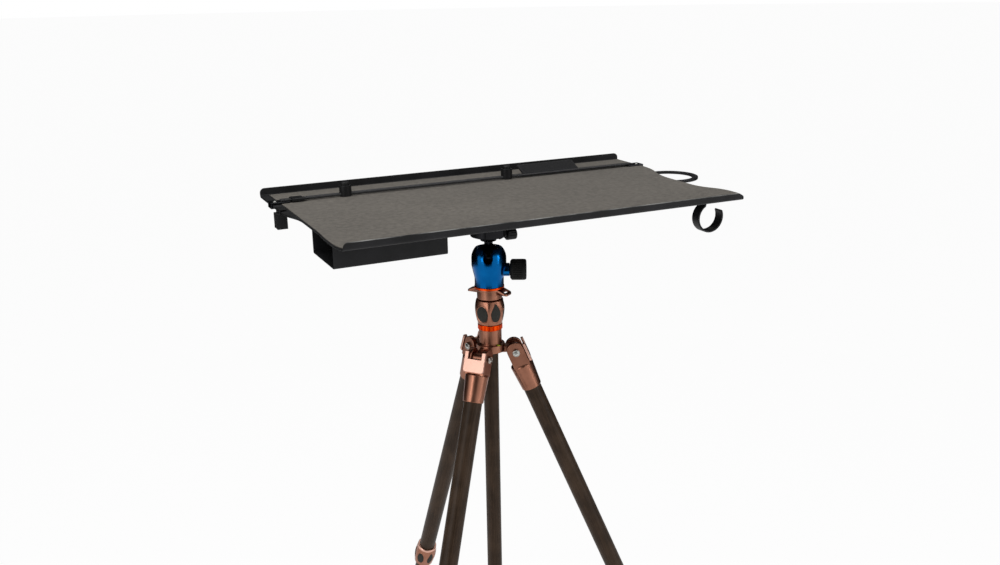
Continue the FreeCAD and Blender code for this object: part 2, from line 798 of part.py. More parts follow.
def make_cable_hook():
    body = new_body("cable_hook")
    z = -hook_drop
    pad(body, "XZ_Plane", [circle(0, z, hook_radius)], hook_width, both_ways=True)
    pocket(body, "XZ_Plane", [circle(0, z, hook_radius - hook_band)])
    far = 2 * hook_radius
    mouth = [
        (0, z), (far * cosine(hook_tip_angle), z + far * sine(hook_tip_angle)), (far, z + far),
        (far * cosine(hook_mouth_angle), z + far * sine(hook_mouth_angle)),
    ]
    pocket(body, "XZ_Plane", [mouth])
    middle = hook_radius - hook_band / 2
    tip = circle(middle * cosine(hook_tip_angle), z + middle * sine(hook_tip_angle),
                 hook_band / 2)
    pad(body, "XZ_Plane", [tip], hook_width, both_ways=True)
    root = z + middle * sine(hook_mouth_angle)
    outer = -hook_strip_offset - hook_band / 2
    inner = outer + hook_band
    foot = [
        (outer, root), (inner, root), (inner, -hook_band), (0, -hook_band), (0, 0), (outer, 0),
    ]
    pad(body, "XZ_Plane", [foot], hook_width, both_ways=True)
    pad(body, "XY_Plane", [circle(0, 0, hook_eye_radius)], hook_band, backwards=True)
    pocket(body, "XY_Plane", [circle(0, 0, pivot_screw_radius + pin_gap)], 2 * hook_band,
           both_ways=True)
    place_on_table(body, hook_pivot_x, hook_pivot_y, hook_top)


def make_pivot_screws():
    end = sheet_top - screw_end_gap
    spots = [
        (cup_pivot_x, cup_pivot_y, cup_arm_top - cup_plate - running_gap),
        (hook_pivot_x, hook_pivot_y, hook_top - hook_band - running_gap),
    ]
    group("pivot_screws", [
        screw(seat - pivot_head_height, seat, end, pivot_head_radius, pivot_screw_radius,
              table_offset + x, y - column_setback)
        for x, y, seat in spots
    ])


# Cable clip gripping the left edge of the sheet
def edge_grip(wall, upper_reach, lower_reach):
    """The C that goes round the sheet's edge, with X pointing in over the table."""
    above = wrap_thickness + edge_gap
    below = -sheet_thickness - edge_gap
    return [
        (-wall, below - wall), (lower_reach, below - wall), (lower_reach, below), (0, below),
        (0, above), (upper_reach, above), (upper_reach, above + wall), (-wall, above + wall),
    ]


def make_cable_clip():
    body = new_body("cable_clip")
    half = clip_width / 2
    grip = edge_grip(clip_wall, clip_grip, clip_grip)
    pad(body, "XZ_Plane", [grip], clip_width, both_ways=True)
    outer = clip_grip - clip_depth
    top = -sheet_thickness - edge_gap
    block = rectangle(outer, -half, clip_grip, half)
    pad(body, "XY_Plane", [block], clip_height, at=top, backwards=True)
    grooves = [circle(outer, side * half / 3, clip_groove_radius) for side in (-1, 1)]
    pocket(body, "XY_Plane", grooves)
    height = top - clip_channel_drop
    pocket(body, "YZ_Plane", [circle(0, height, clip_channel_radius)])
    place_on_table(body, -left_rear - edge_gap, clip_y, sheet_top)


# Strap: hooks, webbing, buckle, elastic cords and their sprung cord locks
webbing_middle = webbing_lift + webbing_thickness / 2
webbing_start = strap_hook_reach - strap_slot_inset - strap_slot_width
left_webbing_end = left_webbing_length + webbing_start - left_rear - edge_gap
buckle_start = strap_hook_reach + buckle_gap - left_rear - edge_gap


def make_strap_hook(label, side):
    body = new_body(label)
    grip = edge_grip(strap_hook_plate, strap_hook_reach, strap_hook_lower_reach)
    pad(body, "XZ_Plane", [grip], strap_hook_width, both_ways=True)
    start = strap_hook_reach - strap_slot_inset
    half = strap_slot_length / 2
    slot = rectangle(start, -half, start + strap_slot_width, half)
    pocket(body, "XY_Plane", [slot], sheet_thickness * 2)
    edge = left_rear if side < 0 else right_rear
    turned = 0 if side < 0 else 180
    place_on_table(body, side * (edge + edge_gap), strap_y, sheet_top, turned)


def make_left_webbing():
    body = new_body("webbing_left")
    half = webbing_width / 2
    band = rectangle(webbing_start - left_rear - edge_gap, -half, left_webbing_end, half)
    pad(body, "XY_Plane", [band], webbing_thickness)
    place_on_table(body, 0, strap_y, sheet_top + webbing_lift)


def make_buckle():
    body = new_body("tri_glide_buckle")
    half = buckle_width / 2
    low = -buckle_height / 2
    frame = rounded_rectangle(-half, low, half, -low, buckle_corner)
    pad(body, "YZ_Plane", [frame], buckle_length)
    opening = webbing_width / 2 + edge_gap
    gap = webbing_thickness / 2 + edge_gap
    pocket(body, "YZ_Plane", [rectangle(-opening, -gap, opening, gap)])
    bar = buckle_length / 5
    windows = [
        rectangle(start * bar, -opening, (start + 1) * bar, opening) for start in (1, 3)
    ]
    pocket(body, "XY_Plane", windows, buckle_height)
    place_on_table(body, buckle_start, strap_y, sheet_top + webbing_middle)


def make_elastic_cord():
    body = new_body("elastic_cord")
    length = cord_end - left_webbing_end
    cords = [circle(side * cord_spacing / 2, 0, cord_radius) for side in (-1, 1)]
    body.AllowCompound = True
    pad(body, "YZ_Plane", cords, length)
    place_on_table(body, left_webbing_end, strap_y, sheet_top + webbing_middle)


def make_right_webbing():
    """The band, with a wide bare label that leans back and up from it."""
    body = new_body("webbing_right")
    half = webbing_width / 2
    end = right_rear + edge_gap - webbing_start
    band = rectangle(cord_end, -half, end, half)
    pad(body, "XY_Plane", [band], webbing_thickness, both_ways=True)
    thick = label_thickness / 2
    start = half - label_overlap
    lean = label_lean
    reach_y = label_width * cosine(lean)
    reach_z = label_width * sine(lean)
    up_y = thick * sine(lean)
    up_z = thick * cosine(lean)
    label = [
        (start + up_y, -up_z), (start + reach_y + up_y, reach_z - up_z),
        (start + reach_y - up_y, reach_z + up_z), (start - up_y, up_z),
    ]
    pad(body, "YZ_Plane", [label], label_length, at=label_start)
    place_on_table(body, 0, strap_y, sheet_top + webbing_middle)


cord_lock_bottom = wrap_thickness + running_gap
cord_lock_top = cord_lock_bottom + cord_lock_height
cord_button_top = cord_lock_top + cord_button_travel + cord_button_stand
cord_button_bottom = cord_button_top - cord_button_height


def make_cord_lock(label, x):
    body = new_body(label)
    turn(body, [rectangle(0, cord_lock_bottom, cord_lock_radius, cord_lock_top)])
    bore = cord_lock_radius - cord_lock_wall
    depth = cord_lock_top - cord_button_bottom + cord_button_travel + running_gap
    pocket(body, "XY_Plane", [circle(0, 0, bore)], depth, at=cord_lock_top)
    tunnels = [
        circle(side * cord_spacing / 2, webbing_middle, cord_radius + pin_gap)
        for side in (-1, 1)
    ]
    pocket(body, "YZ_Plane", tunnels)
    place_on_table(body, x, strap_y, sheet_top)


def make_cord_button(label, x):
    body = new_body(label)
    radius = cord_lock_radius - cord_lock_wall - running_gap
    top = cord_button_height
    rounding = cord_button_rounding
    turn(body, [[
        (0, 0), (radius, 0), (radius, top - rounding),
        (radius - rounding, top, rounding), (0, top),
    ]])
    place_on_table(body, x, strap_y, sheet_top + cord_button_bottom)


# Quick-release plate, its screw, and the clamp with its sliding jaw
dovetail_half = dovetail_width / 2
dovetail_top = dovetail_foot + dovetail_undercut
jaw_seat = dovetail_half - jaw_seat_inset
clamp_lip_top = dovetail_top + dovetail_land / 2


def make_release_plate():
    body = new_body("quick_release_plate")
    right = [
        (dovetail_half, 0), (dovetail_half, dovetail_foot),
        (dovetail_half - dovetail_undercut, dovetail_top),
        (dovetail_half - dovetail_undercut, dovetail_top + dovetail_land),
        (dovetail_half, dovetail_top + dovetail_land + dovetail_shoulder),
        (dovetail_half, plate_height),
    ]
    left = [(-x, z) for x, z in reversed(right)]
    pad(body, "XZ_Plane", [right + left], plate_length, both_ways=True)
    pocket(body, "XY_Plane", [circle(0, 0, tripod_thread_radius + screw_clearance)])
    recess = circle(0, 0, plate_screw_head_radius + screw_clearance)
    pocket(body, "XY_Plane", [recess], plate_screw_recess, backwards=True)
    place(body, 0, 0, clamp_floor)


def make_plate_screw():
    body = new_body("plate_screw")
    head = plate_screw_head_radius
    shaft = tripod_thread_radius - pin_gap
    turn(body, [[
        (0, running_gap), (head, running_gap), (head, plate_screw_recess),
        (shaft, plate_screw_recess), (shaft, plate_screw_length), (0, plate_screw_length),
    ]])
    place(body, 0, 0, clamp_floor)


def trim_round(body):
    """Turns the clamp and its jaw down to one round outside with a dished foot."""
    far = clamp_round_radius * 2
    low = -clamp_height
    cut = body.newObject("PartDesign::Groove", body.Label + "_groove")
    drawing = draw(body, "XZ_Plane", [[
        (clamp_dish_radius, low - cut_margin), (far, low - cut_margin), (far, clamp_height),
        (clamp_round_radius, clamp_height), (clamp_round_radius, low + clamp_dish_height),
        (clamp_dish_radius, low),
    ]])
    cut.Profile = drawing
    cut.ReferenceAxis = (drawing, ["V_Axis"])
    cut.Angle = 360
    document.recompute()


def make_head_clamp():
    body = new_body("head_clamp")
    outside = -dovetail_half - clamp_wall
    flank = -dovetail_half - clamp_gap
    profile = [
        (outside, -clamp_height), (jaw_seat, -clamp_height), (jaw_seat, 0), (flank, 0),
        (flank, dovetail_foot), (flank + dovetail_undercut, dovetail_top),
        (flank + dovetail_undercut, clamp_lip_top),
        (outside, clamp_lip_top),
    ]
    pad(body, "XZ_Plane", [profile], clamp_length, both_ways=True)
    bore = circle(0, -clamp_knob_drop, clamp_screw_radius + pin_gap)
    pocket(body, "YZ_Plane", [bore], clamp_screw_reach + clamp_gap, at=jaw_seat)
    trim_round(body)
    place(body, 0, 0, clamp_floor)


def make_clamp_jaw():
    body = new_body("clamp_jaw")
    inside = jaw_seat + clamp_gap
    outside = jaw_seat + clamp_gap + jaw_thickness
    flank = dovetail_half + clamp_gap
    low = -clamp_height + clamp_gap
    profile = [
        (inside, low), (outside, low), (outside, clamp_lip_top),
        (flank - dovetail_undercut, clamp_lip_top),
        (flank - dovetail_undercut, dovetail_top), (flank, dovetail_foot),
        (flank, -clamp_gap), (inside, -clamp_gap),
    ]
    pad(body, "XZ_Plane", [profile], clamp_length, both_ways=True)
    pocket(body, "YZ_Plane", [circle(0, -clamp_knob_drop, clamp_screw_radius + pin_gap)])
    trim_round(body)
    place(body, 0, 0, clamp_floor)


clamp_knob_x = jaw_seat + clamp_gap + jaw_thickness


def make_clamp_knob():
    body = new_body("clamp_knob")
    inner_end = -jaw_thickness - clamp_gap - clamp_screw_reach + jaw_travel
    neck = clamp_knob_neck_radius
    neck_end = running_gap + clamp_knob_neck_length
    top = running_gap + clamp_knob_length
    chamfer = clamp_knob_chamfer
    turn(body, [[
        (0, inner_end), (clamp_screw_radius, inner_end), (clamp_screw_radius, running_gap),
        (neck, running_gap), (neck, neck_end),
        (clamp_knob_radius, neck_end + chamfer), (clamp_knob_radius, top - chamfer),
        (clamp_knob_radius - chamfer, top), (0, top),
    ]])
    place(body, clamp_knob_x, 0, clamp_floor - clamp_knob_drop, tilted=Rotation(Y_AXIS, 90))


# Ball head
def make_ball():
    body = new_body("ball")
    turn(body, [[(0, -ball_radius), (ball_radius, 0, ball_radius), (0, ball_radius, ball_radius)]])
    place(body, 0, 0, ball_centre)


def make_ball_stem():
    body = new_body("ball_stem")
    seat = ball_radius + stem_gap
    rim = stem_flange_radius
    flange = stem_height - stem_flange_height
    turn(body, [[
        (seat * sine(stem_foot_angle), seat * cosine(stem_foot_angle), -seat),
        (stem_neck_radius, flange - stem_flange_slope), (rim, flange), (rim, stem_height),
        (0, stem_height), (0, seat),
    ]])
    place(body, 0, 0, ball_centre)


cavity_radius = ball_radius + ball_gap
housing_belly_top = -housing_belly_drop
housing_belly_bottom = housing_belly_top - housing_belly_height
housing_foot_top = housing_foot_height - housing_height_below


def make_head_housing():
    body = new_body("head_housing")
    rim_height = cavity_radius * cosine(rim_angle)
    spindle_bore = pan_spindle_radius + pin_gap
    spindle_top = -housing_height_below + pan_spindle_height + running_gap
    turn(body, [[
        (spindle_bore, -housing_height_below), (housing_foot_radius, -housing_height_below),
        (housing_foot_radius, housing_foot_top), (housing_belly_radius, housing_belly_bottom),
        (housing_belly_radius, housing_belly_top),
        (housing_top_radius, rim_height, housing_shoulder_radius), (mouth_radius, rim_height),
        (cavity_radius * sine(mouth_angle), cavity_radius * cosine(mouth_angle)),
        (cavity_radius, 0, -cavity_radius),
        (cavity_radius, -housing_cavity_depth), (0, -housing_cavity_depth),
        (0, spindle_top), (spindle_bore, spindle_top),
    ]])
    boss_start = cavity_radius + knob_boss_root
    boss = circle(0, -knob_drop, knob_boss_radius)
    pad(body, "YZ_Plane", [boss], knob_boss_end - boss_start, at=boss_start)
    stud_bore = circle(0, -knob_drop, knob_stud_radius + pin_gap)
    pocket(body, "YZ_Plane", [stud_bore], knob_boss_end - cavity_radius + cut_margin,
           at=knob_boss_end)
    half = notch_width / 2
    floor = rim_height - notch_depth
    notch = [
        (-half, floor - half), (0, floor - notch_width, half), (half, floor - half, half),
        (half, floor + notch_width), (-half, floor + notch_width),
    ]
    pocket(body, "XZ_Plane", [notch], 2 * housing_belly_radius, backwards=True)
    place(body, 0, 0, ball_centre, knob_turn)


def make_ball_cup():
    body = new_body("ball_cup")
    seat = ball_radius + ball_gap
    side = cavity_radius - ball_gap
    edge = -seat * cosine(ball_cup_edge_angle)
    turn(body, [[
        (0, -housing_cavity_depth), (side, -housing_cavity_depth), (side, edge),
        (seat * sine(ball_cup_edge_angle), edge), (0, -seat, -seat),
    ]])
    place(body, 0, 0, ball_centre, knob_turn)


def make_lock_knob():
    body = new_body("lock_knob")
    tip = cavity_radius + running_gap - knob_boss_end
    neck_end = running_gap + knob_neck_length
    end = neck_end + knob_length
    chamfer = knob_chamfer
    turn(body, [[
        (0, tip), (knob_stud_radius, tip), (knob_stud_radius, running_gap),
        (knob_neck_radius, running_gap), (knob_neck_radius, neck_end),
        (knob_radius - chamfer, neck_end), (knob_radius, neck_end + chamfer),
        (knob_radius, end - chamfer), (knob_radius - chamfer, end), (0, end),
    ]])
    turned = math.radians(knob_turn.value)
    reach = knob_boss_end.value
    place(body, reach * math.cos(turned), reach * math.sin(turned), ball_centre - knob_drop,
          knob_turn, Rotation(Y_AXIS, 90))


def make_pan_ring():
    body = new_body("pan_ring")
    top = pan_ring_height - running_gap
    spindle_top = pan_ring_height + pan_spindle_height
    turn(body, [[
        (0, 0), (pan_ring_radius, 0), (pan_ring_radius, top), (pan_spindle_radius, top),
        (pan_spindle_radius, spindle_top), (0, spindle_top),
    ]])
    place(body, 0, 0, pan_ring_bottom)


# Column: loop plate, top mount, tube and end cap
def make_loop_plate():
    body = new_body("loop_plate")
    thick = loop_plate_thickness
    pad(body, "XY_Plane", [circle(0, 0, loop_plate_radius)], thick)
    ears = rounded_rectangle(-loop_reach, -loop_half_width, loop_reach, loop_half_width,
                             loop_corner)
    pad(body, "XY_Plane", [ears], thick)
    half = loop_slot_length / 2
    slots = []
    for side in (-1, 1):
        middle = side * loop_slot_place
        slots.append(rounded_rectangle(middle - loop_slot_width / 2, -half,
                                       middle + loop_slot_width / 2, half,
                                       loop_slot_corner))
    pocket(body, "XY_Plane", slots)
    place(body, 0, 0, loop_plate_bottom, loop_turn)


def make_top_mount():
    body = new_body("top_mount")
    socket = column_radius + pin_gap
    edge = top_mount_chamfer
    turn(body, [[
        (socket, running_gap), (top_mount_radius - edge, running_gap),
        (top_mount_radius, running_gap + edge), (top_mount_radius, top_mount_height),
        (0, top_mount_height), (0, column_socket_depth), (socket, column_socket_depth),
    ]])
    place(body, 0, 0, top_mount_bottom)


def make_column_tube():
    body = new_body("column_tube")
    inner = column_radius - column_wall
    top = top_mount_bottom + column_socket_depth
    turn(body, [rectangle(inner, -column_below, column_radius, top)])
    place(body, 0, 0, 0)


def make_column_cap():
    body = new_body("column_cap")
    plug = column_radius - column_wall - pin_gap
    radius = column_cap_radius
    edge = column_cap_chamfer
    turn(body, [[
        (0, -column_cap_height), (radius - edge, -column_cap_height),
        (radius, -column_cap_height + edge), (radius, 0), (plug, 0),
        (plug, column_cap_plug), (0, column_cap_plug),
    ]])
    place(body, 0, 0, -column_below)


# Hub: spider, knurled ring, column twist lock, level and hinge bolts
def make_spider():
    body = new_body("spider")
    bore = column_radius + running_gap
    turn(body, [[
        (bore, hub_flange_bottom), (hub_flange_radius, hub_flange_bottom),
        (hub_flange_radius, hub_flange_top), (hub_neck_radius, hub_flange_top),
        (hub_neck_radius, knurled_ring_bottom), (bore, knurled_ring_bottom),
    ]])
    width = 2 * tongue_half_width
    root = (hub_neck_radius + bore) / 2
    arm = rectangle(root, arm_rise - tongue_half_height, hinge_radius,
                    arm_rise + tongue_half_height)
    arms = pad(body, "XZ_Plane", [arm], width, both_ways=True)
    head = circle(hinge_radius, 0, tongue_head_radius)
    heads = pad(body, "XZ_Plane", [head], width, both_ways=True)
    pin = circle(hinge_radius, 0, hinge_pin_radius + pin_gap)
    pins = pocket(body, "XZ_Plane", [pin], width + cut_margin, both_ways=True)
    repeat_round(body, [arms, heads, pins], leg_count)
    ring = (hub_flange_radius + hub_neck_radius) / 2
    spot = circle(ring * cosine(level_azimuth), ring * sine(level_azimuth),
                  level_radius + pin_gap)
    pocket(body, "XY_Plane", [spot], level_depth, at=hub_flange_top)
    place(body, 0, 0, 0, first_leg_azimuth)


def make_level():
    body = new_body("bubble_level")
    turn(body, [rectangle(0, -level_depth, level_radius, pin_gap)])
    ring = (hub_flange_radius + hub_neck_radius).value / 2
    azimuth = math.radians((first_leg_azimuth + level_azimuth).value)
    place(body, ring * math.cos(azimuth), ring * math.sin(azimuth), hub_flange_top)


def make_knurled_ring():
    body = new_body("knurled_ring")
    bore = column_radius + running_gap
    edge = knurled_ring_chamfer
    low = running_gap
    high = knurled_ring_height
    turn(body, [[
        (bore, low), (knurled_ring_radius - edge, low), (knurled_ring_radius, low + edge),
        (knurled_ring_radius, high - edge), (knurled_ring_radius - edge, high), (bore, high),
    ]])
    place(body, 0, 0, knurled_ring_bottom)


def make_column_lock():
    body = new_body("column_lock")
    bore = column_radius + running_gap
    end = column_lock_end_radius
    wide = column_lock_radius
    slope = column_lock_slope
    low = running_gap
    high = column_lock_height
    turn(body, [[
        (bore, low), (end, low), (wide, slope), (wide, high - slope), (end, high),
        (bore, high),
    ]])
    place(body, 0, 0, column_lock_bottom)


def leg_azimuth(number):
    return first_leg_azimuth.value + number * 360 / leg_count


def place_on_leg(body, number):
    """Stands a body at a leg's hinge, with X outward and the leg running down Z."""
    azimuth = math.radians(leg_azimuth(number))
    reach = hinge_radius.value
    place(body, reach * math.cos(azimuth), reach * math.sin(azimuth), 0,
          leg_azimuth(number), Rotation(Y_AXIS, -leg_splay.value))


def make_hinge_bolts():
    half = fork_half_width.value + running_gap.value
    head = hinge_head_height.value
    shapes = []
    for number in range(leg_count):
        shaft = Part.makeCylinder(hinge_pin_radius.value, 2 * half, Vector(0, -half, 0), Y_AXIS)
        ends = [
            Part.makeCylinder(hinge_head_radius.value, head, Vector(0, start, 0), Y_AXIS)
            for start in (-half - head, half)
        ]
        bolt = shaft.fuse(ends).removeSplitter()
        bolt.translate(Vector(hinge_radius.value, 0, 0))
        bolt.rotate(Vector(), Z_AXIS, leg_azimuth(number))
        shapes.append(bolt)
    group("hinge_bolts", shapes)


# Legs: each is drawn hanging straight down from its hinge, then placed
def make_leg_crown(number):
    body = new_body(f"leg_{number + 1}_crown")
    socket = upper_tube_radius + pin_gap
    edge = crown_chamfer
    turn(body, [[
        (socket, -crown_length), (crown_end_radius, -crown_length),
        (crown_top_radius, -crown_shoulder - edge), (crown_top_radius - edge, -crown_shoulder),
        (0, -crown_shoulder), (0, -crown_socket_top), (socket, -crown_socket_top),
    ]])
    width = 2 * fork_half_width
    web = rectangle(-fork_radius, -crown_shoulder - edge, fork_radius, fork_rise)
    pad(body, "XZ_Plane", [web], width, both_ways=True)
    pad(body, "XZ_Plane", [circle(0, fork_rise, fork_radius)], width, both_ways=True)
    gap = rectangle(-2 * fork_radius, -fork_depth, 2 * fork_radius, 2 * fork_radius)
    slot = 2 * (tongue_half_width + running_gap)
    pocket(body, "XZ_Plane", [gap], slot, both_ways=True)
    pocket(body, "XZ_Plane", [circle(0, 0, hinge_pin_radius + pin_gap)])
    stem = circle(0, -latch_stem_drop, latch_stem_radius + pin_gap)
    start = crown_top_radius
    pocket(body, "YZ_Plane", [stem], start - latch_stem_end + pin_gap, at=start)
    place_on_leg(body, number)


def make_leg_latch(number):
    body = new_body(f"leg_{number + 1}_latch")
    wide = latch_half_width
    corner = latch_corner_radius
    slot = latch_half_width - latch_prong_width
    plate = [
        (-wide + corner, latch_bottom, corner), (wide - corner, latch_bottom),
        (wide, latch_bottom + corner, corner), (wide, latch_prong_top),
        (slot, latch_prong_top), (slot, latch_top), (-slot, latch_top),
        (-slot, latch_prong_top), (-wide, latch_prong_top), (-wide, latch_bottom + corner),
    ]
    pad(body, "YZ_Plane", [plate], latch_thickness, at=latch_back)
    stem = circle(0, -latch_stem_drop, latch_stem_radius)
    length = latch_back - latch_stem_end
    pad(body, "YZ_Plane", [stem], length, at=latch_back, backwards=True)
    place_on_leg(body, number)


def make_upper_tube(number):
    body = new_body(f"leg_{number + 1}_upper_tube")
    inner = upper_tube_radius - tube_wall
    turn(body, [rectangle(inner, -upper_tube_end, upper_tube_radius, -crown_socket_top)])
    place_on_leg(body, number)


def make_leg_lock(number):
    body = new_body(f"leg_{number + 1}_twist_lock")
    upper_bore = upper_tube_radius + tube_gap
    lower_bore = lower_tube_radius + tube_gap
    top = -leg_lock_top
    bottom = -leg_lock_top - leg_lock_length
    slope = leg_lock_slope
    shoulder = -upper_tube_end - running_gap
    turn(body, [[
        (lower_bore, bottom), (leg_lock_end_radius, bottom), (leg_lock_radius, bottom + slope),
        (leg_lock_radius, top - slope), (leg_lock_end_radius, top), (upper_bore, top),
        (upper_bore, shoulder), (lower_bore, shoulder),
    ]])
    place_on_leg(body, number)


def make_lower_tube(number):
    body = new_body(f"leg_{number + 1}_lower_tube")
    top = -upper_tube_end + lower_tube_overlap
    inner = lower_tube_radius - tube_wall
    turn(body, [rectangle(inner, -lower_tube_end, lower_tube_radius, top)])
    place_on_leg(body, number)


def make_foot(number):
    body = new_body(f"leg_{number + 1}_foot")
    socket = lower_tube_radius + pin_gap
    turn(body, [[
        (0, -foot_centre - foot_radius), (foot_radius, -foot_centre, foot_radius),
        (foot_radius, -lower_tube_end + foot_grip), (socket, -lower_tube_end + foot_grip),
        (socket, -lower_tube_end), (0, -lower_tube_end),
    ]])
    place_on_leg(body, number)


# The whole part, piece by piece from the table down to the feet
make_table_plate()
make_top_wrap()
make_mounting_block()
make_underside_screws()
make_drive_compartment()
make_cup_bracket()
make_cup_holder()
make_cable_hook()
make_pivot_screws()
make_cable_clip()
make_strap_hook("strap_hook_left", -1)
make_strap_hook("strap_hook_right", 1)
make_left_webbing()
make_buckle()
make_elastic_cord()
make_right_webbing()
for lock_side, lock_x in (("left", lock_left_x), ("right", lock_right_x)):
    make_cord_lock(f"cord_lock_{lock_side}", lock_x)
    make_cord_button(f"cord_lock_{lock_side}_button", lock_x)
make_release_plate()
make_plate_screw()
make_head_clamp()
make_clamp_jaw()
make_clamp_knob()
make_ball()
make_ball_stem()
make_head_housing()
make_ball_cup()
make_lock_knob()
make_pan_ring()
make_loop_plate()
make_top_mount()
make_column_tube()
make_column_cap()
make_spider()
make_level()
make_knurled_ring()
make_column_lock()
make_hinge_bolts()
for leg in range(leg_count):
    make_leg_crown(leg)
    make_leg_latch(leg)
    make_upper_tube(leg)
    make_leg_lock(leg)
    make_lower_tube(leg)
    make_foot(leg)

# Origin on the floor, in the middle of the bounding box
document.recompute()
box = FreeCAD.BoundBox()
for node in nodes:
    box.add(node.Shape.optimalBoundingBox())
shift = Vector(-(box.XMin + box.XMax) / 2, -(box.YMin + box.YMax) / 2, -box.ZMin)
for node in nodes:
    node.Placement = Placement(shift, Rotation()).multiply(node.Placement)
document.recompute()

# Every object is sound before anything is written
for item in document.Objects:
    if "Invalid" in item.State or "Error" in item.State:
        raise ValueError(f"{item.Name} did not compute: {item.State}")
for node in nodes:
    if node.Shape.isNull() or not node.Shape.isValid() or node.Shape.Volume <= 0:
        raise ValueError(f"{node.Label} has no sound shape")

os.makedirs("parts", exist_ok=True)
for node in nodes:
    node.Shape.exportStep(f"parts/{node.Label}.step")
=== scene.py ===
import json
import math

import bmesh
import bpy
from mathutils import Matrix, Vector


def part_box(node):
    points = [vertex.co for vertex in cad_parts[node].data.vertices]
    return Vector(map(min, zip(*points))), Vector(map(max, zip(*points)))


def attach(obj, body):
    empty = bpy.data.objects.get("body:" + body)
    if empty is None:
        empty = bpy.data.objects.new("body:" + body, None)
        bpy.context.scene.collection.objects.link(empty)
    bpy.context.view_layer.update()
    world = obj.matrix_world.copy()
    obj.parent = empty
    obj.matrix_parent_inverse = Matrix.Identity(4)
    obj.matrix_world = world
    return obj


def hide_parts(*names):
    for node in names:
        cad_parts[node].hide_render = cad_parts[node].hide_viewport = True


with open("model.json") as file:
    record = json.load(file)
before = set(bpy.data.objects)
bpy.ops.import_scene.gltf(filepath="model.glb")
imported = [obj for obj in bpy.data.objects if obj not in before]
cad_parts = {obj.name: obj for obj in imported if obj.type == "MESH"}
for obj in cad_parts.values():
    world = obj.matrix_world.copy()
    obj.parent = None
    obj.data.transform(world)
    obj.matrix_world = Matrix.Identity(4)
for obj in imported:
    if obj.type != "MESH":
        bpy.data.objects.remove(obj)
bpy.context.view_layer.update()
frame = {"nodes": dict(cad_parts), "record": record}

# Table top sheet: one piece of 3 mm aluminium with shaped sides, its front and rear edges bent up
# into low rims, powder coated black. A painted highlight in a grey metal tone runs along the top
# of the front rim.
MM = 0.001


def linear(code):
    """An sRGB hex colour as the linear colour that a shader takes."""
    parts = [int(code[start:start + 2], 16) / 255 for start in (1, 3, 5)]
    return [p / 12.92 if p <= 0.04045 else ((p + 0.055) / 1.055) ** 2.4 for p in parts] + [1.0]


def add_node(tree, kind, settings=None, inputs=None):
    """Adds a node; each input takes a plain value or the output of another node."""
    made = tree.nodes.new(kind)
    for name, value in (settings or {}).items():
        setattr(made, name, value)
    for name, value in (inputs or {}).items():
        if isinstance(value, bpy.types.NodeSocket):
            tree.links.new(value, made.inputs[name])
        else:
            made.inputs[name].default_value = value
    return made


def new_material(name, values):
    """A material with its shader's plain values set; gives its tree, shader and coordinates."""
    material = bpy.data.materials.new(name)
    material.use_nodes = True
    tree = material.node_tree
    shader = tree.nodes["Principled BSDF"]
    for socket, value in values.items():
        shader.inputs[socket].default_value = value
    place = add_node(tree, "ShaderNodeTexCoord").outputs["Object"]
    return material, tree, shader, place


def link(tree, output, shader, socket):
    tree.links.new(output, shader.inputs[socket])


def mesh_piece(name, bm, *materials):
    """Turns a bmesh into a smooth-shaded piece whose edges over 32 degrees stay crisp."""
    mesh = bpy.data.meshes.new(name)
    bm.to_mesh(mesh)
    bm.free()
    if "custom_normal" in mesh.attributes:
        mesh.attributes.remove(mesh.attributes["custom_normal"])
    piece = bpy.data.objects.new(name, mesh)
    bpy.context.scene.collection.objects.link(piece)
    for material in materials:
        mesh.materials.append(material)
    mesh.shade_smooth()
    mesh.set_sharp_from_angle(angle=math.radians(32))
    return piece


def settle(piece):
    """Makes the evaluated shape the piece's own plain mesh and drops its modifiers."""
    shape = piece.evaluated_get(bpy.context.evaluated_depsgraph_get())
    piece.data = bpy.data.meshes.new_from_object(shape)
    piece.modifiers.clear()
    return piece


def ease_edges(piece, radius, steps=2):
    """Rounds every crisp edge and keeps the flat faces between them flat."""
    edges = piece.modifiers.new("edges", "BEVEL")
    edges.width = radius * MM
    edges.segments = steps
    edges.limit_method = "ANGLE"
    edges.angle_limit = math.radians(38)
    edges.use_clamp_overlap = False
    flats = piece.modifiers.new("flats", "WEIGHTED_NORMAL")
    flats.keep_sharp = False
    return settle(piece)


record = frame["record"]
body_of_node = {
    node: body for body, nodes in record["behaviour"]["bodies"].items() for node in nodes
}


def fit(piece, node, shows=True):
    """The piece moves with the node's body; as a rule it also replaces it."""
    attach(piece, body_of_node[node])
    if shows:
        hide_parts(node)
    return piece


def from_solid(node, edge, *materials):
    """The node's own solid with its triangles merged and its edges eased."""
    bm = bmesh.new()
    bm.from_mesh(frame["nodes"][node].data)
    bmesh.ops.remove_doubles(bm, verts=bm.verts, dist=0.004 * MM)
    bmesh.ops.dissolve_limit(bm, angle_limit=math.radians(0.6), verts=bm.verts, edges=bm.edges)
    bm.faces.ensure_lookup_table()
    for face in bm.faces:
        face.material_index = 0
    piece = mesh_piece(node + "_shape", bm, *materials)
    if edge:
        ease_edges(piece, edge)
    return fit(piece, node)
